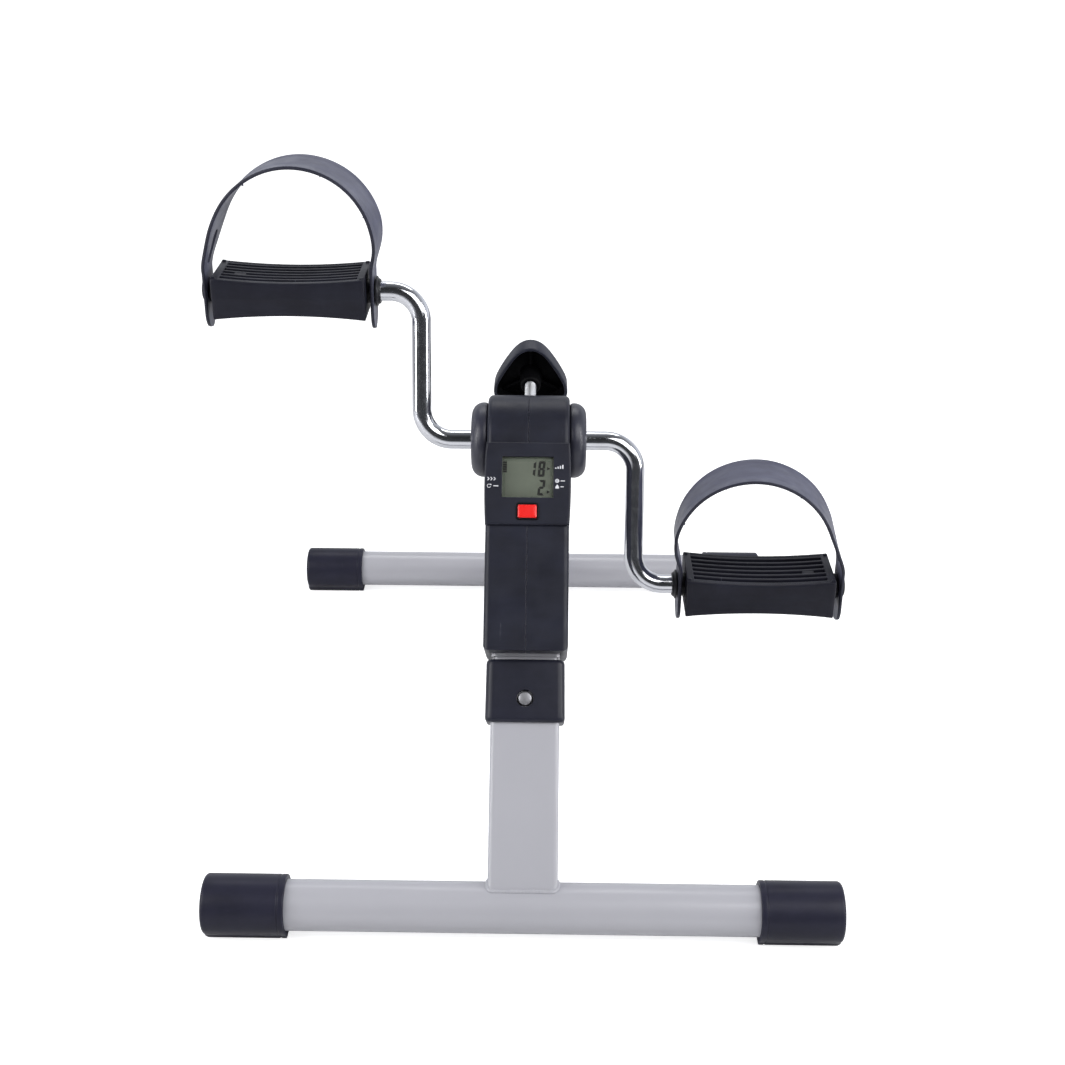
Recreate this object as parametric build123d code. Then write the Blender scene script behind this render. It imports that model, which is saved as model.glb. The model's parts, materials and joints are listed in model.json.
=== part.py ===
"""Folding under-desk pedal exerciser: two floor feet, a leaning folding post, a head with an adjustable
brake and a small display, a bent-rod crank and two strapped pedals.

Frame, millimetres: origin on the floor midway between the two feet, X to the user's right, Y away from
the user, Z up. Many parts are drawn in the "upright" frame, where Z runs up the post from the front
foot's axis and Y points to the post's rear, and are then leaned back into place.
"""

import os
from math import cos, pi, radians, sin

from build123d import *

os.makedirs("parts", exist_ok=True)

# ---- floor feet ------------------------------------------------------------------------------------
FOOT_SPACING = 450.0        # front foot axis to rear foot axis
FOOT_AXIS_Z = 20.0          # foot tube axis above the floor
FOOT_R = 16.0               # foot tube outer radius
FOOT_WALL = 1.5
REAR_AXIS_Z = 18.8          # the rear foot's axis above the floor; its tube is a little thinner
REAR_FOOT_R = 15.0
REAR_CAP_R = 17.7
REAR_CAP_LEN = 49.0
FOOT_HALF = 200.0           # middle of the foot to the end of its cap
CAP_R = 19.0
CAP_LEN = 52.0
CAP_END_WALL = 3.5
CAP_PAD_HALF = 9.0          # half depth of the flat the cap stands on
CAP_EDGE = 2.5              # rounding of the cap's outer rim

# ---- leaning post, leg and hinge (upright frame) ---------------------------------------------------
LEAN = 38.6                 # degrees from vertical, leaning away from the user
TUBE_W = 44.0
TUBE_D = 25.0
TUBE_WALL = 1.5
TUBE_CORNER = 3.0
LEG_TOP = 152.0
LEG_REAR_CUT = 87.0         # above this the leg has no rear wall, so the channel can fold out
POST_BOTTOM = 157.0
POST_TOP = 262.0
PIVOT_Y = -5.0
PIVOT_Z = 106.0
PIN_R = 3.0
PIN_PLAY = 0.05
CHANNEL_HALF_W = 20.0
CHANNEL_HALF_D = 10.5
CHANNEL_WALL = 2.0
CHANNEL_TOP = 205.0
CHANNEL_NOSE = 5.7          # radius of the channel's rounded lower end about the pivot
CHANNEL_PAD = (165.0, 200.0)
COLLAR_HALF_W = 25.5
COLLAR_FRONT = 16.0
COLLAR_Z = (115.0, 155.0)
COLLAR_CORNER = 5.0
COLLAR_PLAY = 0.05
SNAP_Z = 130.0
SNAP_R = 4.3
SNAP_TIP = 17.5
SNAP_DOME = 3.0
SNAP_FLANGE_R = 6.0
SNAP_FLANGE_T = 1.4
SNAP_HOLE_R = 5.6
SNAP_PLAY = 0.05
LEAF_T = 0.6
LEAF_HALF_W = 4.0
LEAF_Z = (124.0, 168.0)
LEAF_FOOT = 10.0            # length of the leaf's fixed end
REAR_LEG_JOIN = 247.0       # height up the post where the rear leg is welded on

# ---- head ------------------------------------------------------------------------------------------
AXLE_UP = 304.0             # axle height up the post, from the front foot's axis
CHEEK_IN = 22.0
CHEEK_OUT = 24.5
CHEEK_R = 19.0
CHEEK_HALF_D = 15.0
CHEEK_BOTTOM = 212.0
BRIDGE_T = 3.0
SLEEVE_R = 9.0
SLEEVE_HALF = 30.0
DRUM_R = 16.0
DRUM_HALF = 12.0
BUSH_R = 12.0
BUSH_PLAY = 0.05
BUSH_FLANGE_R = 14.5
BUSH_FLANGE_T = 1.2
SHELL_HALF_W = 27.0
SHELL_WALL = 2.0
SHELL_BOTTOM = 159.0
SHELL_FRONT = 29.0
DOME_R = 30.0
SHELL_BACK = 40.0
SHELL_BACK_LOW = 30.0
SHELL_SHOULDER = 22.0       # radius of the housing's rear top corner
SHELL_EDGE = 3.5
SEAM_HALF = 0.12
BOSS_R = 4.2
SCREW_R = 1.5
SCREW_HEAD_R = 2.8
SCREW_HEAD_T = 2.4
SCREW_SEAT = 10.0
SCREW_TIP = 12.0
BOSSES = [(-21.0, 172.0), (-21.0, 226.0), (22.0, 172.0), (22.0, 222.0), (32.0, 284.0), (-2.0, 328.0)]
HUB_R = 25.0
HUB_OUT = 38.1
HUB_EDGE = 6.0
HUB_WALL = 2.5
HUB_HOLE_R = 7.0

# ---- brake and its knob (tension frame: Z runs out from the axle along the screw) ------------------
TENSION_RISE = 13.0         # degrees the screw points above level, away from the user
SHOE_HALF_W = 12.0
SHOE_HALF_D = 9.0
BRAKE_GAP = 1.05            # felt to drum with the brake off
FELT_Z = (14.0, 18.5)
SHOE_TOP = 21.7
SOCKET_Z = 19.8
SCREW_ROD_R = 3.95
NUT_BORE_R = 4.0
NUT_Z = (25.5, 30.0)
NUT_Y = (-6.0, 7.0)
EAR_Y = (-6.0, 9.0)
EAR_TOP = 29.0
KNOB_RIM = 68.0             # open rim of the knob, distance from the axle
KNOB_DEPTH = 15.0
KNOB_WALL = 2.4
KNOB_FACE_T = 3.0
KNOB_MEAN_R = 24.7
KNOB_LOBE = 3.2
KNOB_LOBE_2 = 0.34
KNOB_BOSS_R = 7.5
KNOB_BOSS_OUT = 4.5         # how far the boss stands out of the rim, towards the axle
KNOB_RIB_T = 2.0
KNOB_EDGE = 3.0

# ---- crank -----------------------------------------------------------------------------------------
CRANK_TILT = 15.5           # degrees the cranks lean from vertical at rest
THROW = 97.7
ROD_R = 6.35
ROD_IN = 2.0
ROD_ARM_X = 71.5
ROD_BEND = 20.0
SPINDLE_END = 201.0
CROSS_BOLT_X = 16.2
CROSS_BOLT_R = 2.0
CROSS_HEAD_R = 3.2
CROSS_HEAD_T = 3.0
MAGNET_R = 2.5
MAGNET_AT = 12.6
MAGNET_T = 2.0
CLIP_X = (197.2, 198.7)
CLIP_R = 9.0

# ---- pedals and straps -----------------------------------------------------------------------------
PEDAL_IN = 106.5
PEDAL_OUT = 205.5
PEDAL_HALF_D = 21.7
PEDAL_HALF_H = 14.0
PEDAL_SAG = 2.8
PEDAL_UNDERCUT = 1.1
PEDAL_BUSH_R = 8.0
PEDAL_CORE_R = 6.9
PEDAL_BUSH_IN = (100.9, 122.0)
PEDAL_BUSH_OUT = (188.0, 196.5)
PEDAL_POCKET_R = 9.7
PEDAL_COLLAR_R = 10.0
PEDAL_COLLAR_X = 97.8
PEDAL_COLLAR_CHAMFER = 1.8
ROD_PLAY = 0.05
SLOT_COUNT = 6
SLOT_PITCH = 5.8
SLOT_W = 3.4
SLOT_X = (111.3, 200.7)
SLOT_FLOOR = 8.6
CAVITY_X = (110.0, 195.0)
CAVITY_Y = (10.0, 19.2)
CAVITY_Z = (-9.0, 8.0)
END_CAP_X = (202.5, 205.5)
END_CAP_BOSS_R = 8.5
END_CAP_BOSS_OUT = 209.9
END_CAP_NECK_R = 5.0
END_CAP_HEAD_R = 7.5
END_CAP_HEAD_EDGE = 1.2
END_CAP_HEAD_X = (212.9, 214.9)
STRAP_T = 2.3
STRAP_MID = 157.1
STRAP_FOOT = 54.25          # strap ends either side of the middle
STRAP_STRAIGHT = 14.0       # height up to which the strap's ends are straight
STRAP_LINE = ((-57.1, 27.5), (-41.8, 70.6), (0.5, 83.4), (35.7, 62.1), (51.2, 27.4))
STRAP_STEPS = 24
STRAP_REACH = 62.0
STRAP_TONGUE = -24.8
STRAP_HALF_W = 18.8
STRAP_END_HALF_W = 12.5
STRAP_FLARE = (16.6, 26.0)
STRAP_FULL_Z = 44.0         # height above which the strap has its full width
STRAP_LEAN = 1.0
STRAP_HOLE_PLAY = 0.15
STRAP_SLOT_Z = (17.1, 40.4)
STRAP_SLOT_HALF_W = 4.4
STRAP_SLOT_X = (198.0, 218.0)

# ---- display (upright frame, on the housing's front) -----------------------------------------------
BEZEL_Z = (239.5, 294.0)
BEZEL_HALF_W = 27.1
BEZEL_BULGE = 28.0
BEZEL_FRONT = 32.0
BEZEL_BACK = 29.02
BEZEL_PLATE = 2.0
BEZEL_EDGE = 1.2
PLUG_HALF_W = 24.0
PLUG_Z = (241.5, 292.0)
PLUG_BACK = 18.0
PLUG_WALL = 1.5
WINDOW_HALF_W = 16.6
WINDOW_Z = (257.3, 284.4)
LENS_MARGIN = 1.9
LENS_T = 1.0
LCD_T = 2.45
BOARD_Y = (-24.0, -22.4)
BUTTON_HALF_W = 6.2
BUTTON_Z = (243.8, 252.5)
BUTTON_CORNER = 2.0
BUTTON_FRONT = 33.2
BUTTON_PLAY = 0.2
BUTTON_LIP = 0.7
BUTTON_LIP_T = 0.9
BUTTON_STEM_R = 1.5
BUTTON_STEM_Y = -26.9
SWITCH_HALF = 3.0
SWITCH_T = 1.5
BATTERY_R = 5.8
BATTERY_AT = (-8.0, 268.0)
BATTERY_T = 5.2
SENSOR_X = (15.5, 20.5)
SENSOR_HALF_D = 3.0
SENSOR_TOP = 290.0
CABLE_R = 0.9

POST_FOOT = (0, -FOOT_SPACING / 2, FOOT_AXIS_Z)
AXLE_Y = -FOOT_SPACING / 2 + AXLE_UP * sin(radians(LEAN))
AXLE_Z = FOOT_AXIS_Z + AXLE_UP * cos(radians(LEAN))
UPRIGHT = Location(POST_FOOT, (-LEAN, 0, 0))
TENSION = Location((0, AXLE_Y, AXLE_Z), (TENSION_RISE - 90, 0, 0))
CRANK = Location((0, AXLE_Y, AXLE_Z), (-CRANK_TILT, 0, 0))


def block(x, y, z):
    """Box between pairs of limits."""
    size = (x[1] - x[0], y[1] - y[0], z[1] - z[0])
    middle = ((x[0] + x[1]) / 2, (y[0] + y[1]) / 2, (z[0] + z[1]) / 2)
    return Pos(*middle) * Box(*size)


def cylinder_x(radius, x, y=0.0, z=0.0):
    """Cylinder along X between two limits."""
    return Pos((x[0] + x[1]) / 2, y, z) * Rot(0, 90, 0) * Cylinder(radius, x[1] - x[0])


def cylinder_y(radius, y, x=0.0, z=0.0):
    """Cylinder along Y between two limits."""
    return Pos(x, (y[0] + y[1]) / 2, z) * Rot(90, 0, 0) * Cylinder(radius, y[1] - y[0])


def cylinder_z(radius, z, x=0.0, y=0.0):
    """Cylinder along Z between two limits."""
    return Pos(x, y, (z[0] + z[1]) / 2) * Cylinder(radius, z[1] - z[0])


def mirrored_x(shape):
    """The same piece on the other side of the machine."""
    return mirror(shape, about=Plane.YZ)


def square_tube(length):
    """Rounded rectangular tube standing on the XY plane."""
    outer = RectangleRounded(TUBE_W, TUBE_D, TUBE_CORNER)
    inner = RectangleRounded(TUBE_W - 2 * TUBE_WALL, TUBE_D - 2 * TUBE_WALL, TUBE_CORNER - TUBE_WALL)
    return extrude(outer - inner, length)


# ---- feet ------------------------------------------------------------------------------------------
def foot_tube(y, axis_z, r):
    """Round cross tube of one foot, open at both ends under the caps."""
    half = FOOT_HALF - CAP_END_WALL
    tube = cylinder_x(r, (-half, half)) - cylinder_x(r - FOOT_WALL, (-half, half))
    return Pos(0, y, axis_z) * tube


def foot_cap(y, axis_z, r, cap_r, cap_len):
    """Right-hand moulded cap with a flat pad that stands on the floor."""
    inner = FOOT_HALF - cap_len
    barrel = cylinder_x(cap_r, (inner, FOOT_HALF))
    rim = barrel.faces().sort_by(Axis.X)[-1].edges()
    barrel = fillet(rim, CAP_EDGE)
    pad = block((inner + 1, FOOT_HALF - CAP_EDGE), (-CAP_PAD_HALF, CAP_PAD_HALF), (-axis_z, 0))
    socket = cylinder_x(r, (inner, FOOT_HALF - CAP_END_WALL))
    return Pos(0, y, axis_z) * (barrel + pad - socket)


# ---- leg, post and fold hinge ----------------------------------------------------------------------
def front_leg_tube():
    """Lower leg: saddle-cut on the foot, rear wall cut away near the hinge, hole for the snap button."""
    leg = square_tube(LEG_TOP) - cylinder_x(FOOT_R, (-TUBE_W, TUBE_W))
    half_w = TUBE_W / 2 - TUBE_WALL
    leg -= block((-half_w, half_w), (TUBE_D / 2 - 2 * TUBE_WALL, TUBE_D), (LEG_REAR_CUT, LEG_TOP + 1))
    leg -= cylinder_x(PIN_R + PIN_PLAY, (-TUBE_W, TUBE_W), PIVOT_Y, PIVOT_Z)
    leg -= cylinder_y(SNAP_HOLE_R, (-TUBE_D, 0), z=SNAP_Z)
    return UPRIGHT * leg


def leg_collar():
    """Moulded collar round the front and sides of the leg's top, open to the rear."""
    outline = Rectangle(2 * COLLAR_HALF_W, COLLAR_FRONT + TUBE_D / 2)
    body = Pos(0, (TUBE_D / 2 - COLLAR_FRONT) / 2, COLLAR_Z[0]) * extrude(outline, COLLAR_Z[1] - COLLAR_Z[0])
    front_edges = body.edges().filter_by(Axis.Z).sort_by(Axis.Y)[:2]
    body = fillet(front_edges, COLLAR_CORNER)
    half_w = TUBE_W / 2 + COLLAR_PLAY
    body -= block((-half_w, half_w), (-TUBE_D / 2 - COLLAR_PLAY, TUBE_D), (0, 2 * LEG_TOP))
    body -= cylinder_y(SNAP_HOLE_R, (-2 * COLLAR_FRONT, 0), z=SNAP_Z)
    return UPRIGHT * body


def main_post():
    """Upper square tube that carries the head."""
    return UPRIGHT * Pos(0, 0, POST_BOTTOM) * square_tube(POST_TOP - POST_BOTTOM)


def hinge_channel():
    """Folded steel channel, welded up inside the post, that the leg folds about."""
    w, d = CHANNEL_HALF_W, CHANNEL_HALF_D
    body = block((-w, w), (-d, d), (PIVOT_Z, CHANNEL_TOP))
    body += block((-w, w), (PIVOT_Y, d), (PIVOT_Z - CHANNEL_NOSE, PIVOT_Z))
    body += cylinder_x(CHANNEL_NOSE, (-w, w), PIVOT_Y, PIVOT_Z)
    body &= block((-w, w), (-d, d), (0, CHANNEL_TOP))
    inner_w = w - CHANNEL_WALL
    body -= block((-inner_w, inner_w), (-d + CHANNEL_WALL, 2 * d), (0, CHANNEL_TOP + 1))
    body -= block((-inner_w, inner_w), (-2 * d, 2 * d), (0, PIVOT_Z + 1))
    body += block((-w / 2, w / 2), (-TUBE_D / 2 + TUBE_WALL, -d), CHANNEL_PAD)
    body -= cylinder_x(PIN_R, (-2 * w, 2 * w), PIVOT_Y, PIVOT_Z)
    body -= cylinder_y(SNAP_R + SNAP_PLAY, (-2 * d, 0), z=SNAP_Z)
    return UPRIGHT * body


def hinge_pin():
    """Fold pin, flush with the leg's sides."""
    return UPRIGHT * cylinder_x(PIN_R, (-TUBE_W / 2, TUBE_W / 2), PIVOT_Y, PIVOT_Z)


def snap_button():
    """Spring button with a domed tip that locks the leg to the channel."""
    web_back = -CHANNEL_HALF_D + CHANNEL_WALL
    shank = cylinder_y(SNAP_R, (-SNAP_TIP, web_back), z=SNAP_Z)
    ball_r = (SNAP_R**2 + SNAP_DOME**2) / (2 * SNAP_DOME)
    ball = Pos(0, -SNAP_TIP + ball_r, SNAP_Z) * Sphere(ball_r)
    shoulder = cylinder_y(SNAP_R, (-SNAP_TIP + SNAP_DOME, web_back), z=SNAP_Z)
    flange = cylinder_y(SNAP_FLANGE_R, (web_back, web_back + SNAP_FLANGE_T), z=SNAP_Z)
    return UPRIGHT * ((shank & ball) + shoulder + flange)


def snap_spring():
    """Leaf spring behind the button, riveted to the channel's web at its upper end."""
    web_back = -CHANNEL_HALF_D + CHANNEL_WALL
    front = web_back + SNAP_FLANGE_T
    leaf = block((-LEAF_HALF_W, LEAF_HALF_W), (front, front + LEAF_T), LEAF_Z)
    fixed_z = (LEAF_Z[1] - LEAF_FOOT, LEAF_Z[1])
    fixed = block((-LEAF_HALF_W, LEAF_HALF_W), (web_back, front + LEAF_T), fixed_z)
    return UPRIGHT * (leaf + fixed)


def rear_leg():
    """Square tube from the back of the post down to the rear foot."""
    rise = REAR_AXIS_Z - FOOT_AXIS_Z
    foot_y = FOOT_SPACING * cos(radians(LEAN)) - rise * sin(radians(LEAN))
    foot_z = FOOT_SPACING * sin(radians(LEAN)) + rise * cos(radians(LEAN))
    run = (0, TUBE_D / 2 - foot_y, REAR_LEG_JOIN - foot_z)
    length = Vector(*run).length + TUBE_D
    start = Plane(origin=(0, foot_y, foot_z), x_dir=(1, 0, 0), z_dir=run)
    tube = start.location * square_tube(length)
    tube -= cylinder_x(REAR_FOOT_R, (-TUBE_W, TUBE_W), foot_y, foot_z)
    tube -= block((-TUBE_W, TUBE_W), (-TUBE_W, TUBE_D / 2), (0, 2 * AXLE_UP))
    return UPRIGHT * tube


# ---- head ------------------------------------------------------------------------------------------
def head_bracket():
    """Two cheek plates welded to the post, joined by a bridge over its top, with ears for the nut bar."""
    cheek = cylinder_x(CHEEK_R, (CHEEK_IN, CHEEK_OUT), 0, AXLE_UP)
    cheek += block((CHEEK_IN, CHEEK_OUT), (-CHEEK_HALF_D, CHEEK_HALF_D), (CHEEK_BOTTOM, AXLE_UP))
    cheek = UPRIGHT * cheek + TENSION * block((CHEEK_IN, CHEEK_OUT), EAR_Y, (0, EAR_TOP))
    cheek -= UPRIGHT * cylinder_x(BUSH_R, (0, 2 * CHEEK_OUT), 0, AXLE_UP)
    bridge = block((-CHEEK_IN, CHEEK_IN), (-TUBE_D / 2, TUBE_D / 2), (POST_TOP, POST_TOP + BRIDGE_T))
    return cheek + mirrored_x(cheek) + UPRIGHT * bridge


def axle_bearing():
    """Right-hand flanged nylon bush in its cheek."""
    bush = cylinder_x(BUSH_R, (CHEEK_IN - BUSH_FLANGE_T, CHEEK_OUT), 0, AXLE_UP)
    bush += cylinder_x(BUSH_FLANGE_R, (CHEEK_IN - BUSH_FLANGE_T, CHEEK_IN), 0, AXLE_UP)
    return UPRIGHT * (bush - cylinder_x(SLEEVE_R + BUSH_PLAY, (0, 2 * CHEEK_OUT), 0, AXLE_UP))


def shell_profile():
    """Side outline of the housing, in the upright frame's Y and Z."""
    front_dome = (-SHELL_FRONT * cos(pi / 4), AXLE_UP + DOME_R * sin(pi / 4))
    top = AXLE_UP + DOME_R
    corner_y = SHELL_BACK - SHELL_SHOULDER
    corner_z = top - SHELL_SHOULDER
    diagonal = SHELL_SHOULDER * sin(pi / 4)
    back_low_z = 205.0
    lines = Polyline((0, top), (corner_y, top))
    lines += ThreePointArc((corner_y, top), (corner_y + diagonal, corner_z + diagonal), (SHELL_BACK, corner_z))
    lines += Polyline(
        (SHELL_BACK, corner_z),
        (SHELL_BACK, POST_TOP),
        (SHELL_BACK_LOW, back_low_z),
        (SHELL_BACK_LOW, SHELL_BOTTOM),
        (-SHELL_FRONT, SHELL_BOTTOM),
        (-SHELL_FRONT, AXLE_UP),
    )
    lines += ThreePointArc((-SHELL_FRONT, AXLE_UP), front_dome, (0, top))
    return make_face(lines)


def housing_shell():
    """Whole moulded housing before it is split at the middle seam."""
    profile = shell_profile()
    outer = extrude(Plane.YZ.location * profile, SHELL_HALF_W, both=True)
    sides = outer.faces().sort_by(Axis.X)
    outer = fillet(sides[0].edges() + sides[-1].edges(), SHELL_EDGE)
    inner = offset(profile, -SHELL_WALL)
    shell = outer - extrude(Plane.YZ.location * inner, SHELL_HALF_W - SHELL_WALL, both=True)
    for y, z in BOSSES:
        shell += cylinder_x(BOSS_R, (-SHELL_HALF_W + 1, SHELL_HALF_W - 1), y, z)
        shell -= cylinder_x(SCREW_HEAD_R + 0.2, (SCREW_SEAT, SHELL_HALF_W + 1), y, z)
        shell -= cylinder_x(SCREW_R + 0.2, (0, SHELL_HALF_W), y, z)
        shell -= cylinder_x(SCREW_R, (-SCREW_TIP - 0.5, 0), y, z)
    half_w = TUBE_W / 2 + 0.4
    half_d = TUBE_D / 2 + 0.4
    shell -= block((-half_w, half_w), (-half_d, half_d), (SHELL_BOTTOM - 1, SHELL_BOTTOM + 2 * SHELL_WALL))
    rear_slot = (REAR_LEG_JOIN - TUBE_D / 2 - 1, REAR_LEG_JOIN + TUBE_D / 2 + 6)
    shell -= block((-half_w, half_w), (SHELL_BACK_LOW - 1, SHELL_BACK + 1), rear_slot)
    shell -= cylinder_x(SLEEVE_R + 1, (-2 * SHELL_HALF_W, 2 * SHELL_HALF_W), 0, AXLE_UP)
    plug_half = PLUG_HALF_W + 0.2
    plug_z = (PLUG_Z[0] - 0.2, PLUG_Z[1] + 0.2)
    shell -= block((-plug_half, plug_half), (-SHELL_FRONT - 1, -SHELL_FRONT + 2 * SHELL_WALL), plug_z)
    shell = UPRIGHT * shell
    return shell - TENSION * cylinder_z(NUT_BORE_R + 1.5, (NUT_Z[1], KNOB_RIM))


def housing_half(shell, side):
    """One side of the housing; side is -1 for left and 1 for right."""
    near, far = sorted((side * SEAM_HALF, side * 2 * SHELL_HALF_W))
    reach = 2 * AXLE_UP
    return shell & block((near, far), (-reach, reach), (-reach, 2 * reach))


def housing_screws():
    """Six screws that pull the two housing halves together."""
    screws = Part()
    for y, z in BOSSES:
        screws += cylinder_x(SCREW_R, (-SCREW_TIP, SCREW_SEAT), y, z)
        screws += cylinder_x(SCREW_HEAD_R, (SCREW_SEAT, SCREW_SEAT + SCREW_HEAD_T), y, z)
    return UPRIGHT * screws


def hub_cover():
    """Right-hand round cover where the crank leaves the housing."""
    disc = cylinder_x(HUB_R, (SHELL_HALF_W, HUB_OUT))
    disc = fillet(disc.faces().sort_by(Axis.X)[-1].edges(), HUB_EDGE)
    hollow_r = HUB_R - HUB_EDGE / 2
    hollow = cylinder_x(hollow_r, (SHELL_HALF_W - 1, HUB_OUT - HUB_WALL))
    hollow = fillet(hollow.faces().sort_by(Axis.X)[-1].edges(), HUB_EDGE / 2)
    disc -= hollow
    return CRANK * (disc - cylinder_x(HUB_HOLE_R, (0, 2 * HUB_OUT)))


# ---- brake -----------------------------------------------------------------------------------------
def tension_nut():
    """Tapped bar between the cheek plates that the tension screw runs in."""
    bar = block((-CHEEK_IN, CHEEK_IN), NUT_Y, NUT_Z)
    return TENSION * (bar - cylinder_z(NUT_BORE_R, (0, KNOB_RIM)))


def brake_shoe():
    """Shoe pushed by the screw, with a blind socket for the screw's end."""
    shoe = block((-SHOE_HALF_W, SHOE_HALF_W), (-SHOE_HALF_D, SHOE_HALF_D), (FELT_Z[1], SHOE_TOP))
    return TENSION * (shoe - cylinder_z(NUT_BORE_R, (SOCKET_Z, KNOB_RIM)))


def brake_felt():
    """Felt pad glued under the shoe, hollowed to the drum."""
    felt = block((-SHOE_HALF_W, SHOE_HALF_W), (-SHOE_HALF_D, SHOE_HALF_D), FELT_Z)
    return TENSION * (felt - cylinder_x(DRUM_R + BRAKE_GAP, (-2 * SHOE_HALF_W, 2 * SHOE_HALF_W)))


def tension_screw():
    """Screw from the shoe's socket, through the tapped bar, into the knob."""
    return TENSION * cylinder_z(SCREW_ROD_R, (SOCKET_Z + 0.05, KNOB_RIM + KNOB_DEPTH - KNOB_FACE_T))


def knob_outline(shrink=0.0):
    """Three-lobed outline with one lobe up, drawn inwards by shrink."""
    points = []
    steps = 36
    for i in range(steps):
        angle = 2 * pi * i / steps
        lobe = KNOB_LOBE * cos(3 * angle) + KNOB_LOBE_2 * cos(6 * angle)
        r = KNOB_MEAN_R + lobe - shrink
        points.append((r * sin(angle), -r * cos(angle)))
    return make_face(Spline(*points, periodic=True))


def tension_knob():
    """Hollow three-lobed knob, open towards the head, with a boss and ribs inside."""
    back = KNOB_RIM + KNOB_DEPTH
    body = Pos(0, 0, KNOB_RIM) * extrude(knob_outline(), KNOB_DEPTH)
    body = fillet(body.faces().sort_by(Axis.Z)[-1].edges(), KNOB_EDGE)
    body -= Pos(0, 0, KNOB_RIM) * extrude(knob_outline(KNOB_WALL), KNOB_DEPTH - KNOB_FACE_T)
    body += cylinder_z(KNOB_BOSS_R, (KNOB_RIM - KNOB_BOSS_OUT, back - KNOB_FACE_T))
    for lobe in range(3):
        rib = block(
            (-KNOB_RIB_T / 2, KNOB_RIB_T / 2),
            (-KNOB_MEAN_R, -KNOB_BOSS_R + 1),
            (KNOB_RIM + KNOB_DEPTH / 3, back - KNOB_FACE_T),
        )
        body += Rot(0, 0, 120 * lobe) * rib
    return TENSION * (body - cylinder_z(SCREW_ROD_R, (0, back - KNOB_FACE_T)))


# ---- crank -----------------------------------------------------------------------------------------
def cross_bolt_holes():
    """Two cross holes through the sleeve and the crank ends."""
    reach = (-2 * SLEEVE_R, 2 * SLEEVE_R)
    return [cylinder_y(CROSS_BOLT_R, reach, x=x) for x in (-CROSS_BOLT_X, CROSS_BOLT_X)]


def axle_sleeve():
    """Steel sleeve that joins the two cranks and runs in the bushes."""
    sleeve = cylinder_x(SLEEVE_R, (-SLEEVE_HALF, SLEEVE_HALF))
    sleeve -= cylinder_x(ROD_R, (-2 * SLEEVE_HALF, 2 * SLEEVE_HALF))
    for hole in cross_bolt_holes():
        sleeve -= hole
    return CRANK * sleeve


def brake_drum():
    """Drum pressed on the sleeve; the felt pad rubs on it."""
    drum = cylinder_x(DRUM_R, (-DRUM_HALF, DRUM_HALF))
    return CRANK * (drum - cylinder_x(SLEEVE_R, (-2 * DRUM_HALF, 2 * DRUM_HALF)))


def right_rod(direction):
    """Right-hand bent rod from axle to spindle; direction is 1 up the tilt or -1 down it."""
    rise = direction * THROW
    path = FilletPolyline(
        (ROD_IN, 0, 0),
        (ROD_ARM_X, 0, 0),
        (ROD_ARM_X, 0, rise),
        (SPINDLE_END, 0, rise),
        radius=ROD_BEND,
    )
    section = Plane(origin=path @ 0, z_dir=path % 0) * Circle(ROD_R)
    rod = sweep(section, path=path)
    for hole in cross_bolt_holes():
        rod -= hole
    return rod


def cross_bolts():
    """Bolts with nuts through the sleeve and each crank's end."""
    bolts = Part()
    for x in (-CROSS_BOLT_X, CROSS_BOLT_X):
        bolts += cylinder_y(CROSS_BOLT_R, (-SLEEVE_R - CROSS_HEAD_T, SLEEVE_R), x=x)
        bolts += cylinder_y(CROSS_HEAD_R, (SLEEVE_R, SLEEVE_R + CROSS_HEAD_T), x=x)
        nut = extrude(RegularPolygon(CROSS_HEAD_R, 6), CROSS_HEAD_T)
        bolts += Pos(x, -SLEEVE_R, 0) * Rot(90, 0, 0) * nut
    return CRANK * bolts


def drum_magnet():
    """Disc magnet on the drum's side that the revolution sensor reads."""
    return CRANK * cylinder_x(MAGNET_R, (DRUM_HALF, DRUM_HALF + MAGNET_T), 0, -MAGNET_AT)


def spindle_clips():
    """Push-on rings that keep the pedals on their spindles."""
    ring = cylinder_x(CLIP_R, CLIP_X) - cylinder_x(ROD_R, (0, 2 * SPINDLE_END))
    return CRANK * (Pos(0, 0, -THROW) * ring + mirrored_x(Pos(0, 0, THROW) * ring))


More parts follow.
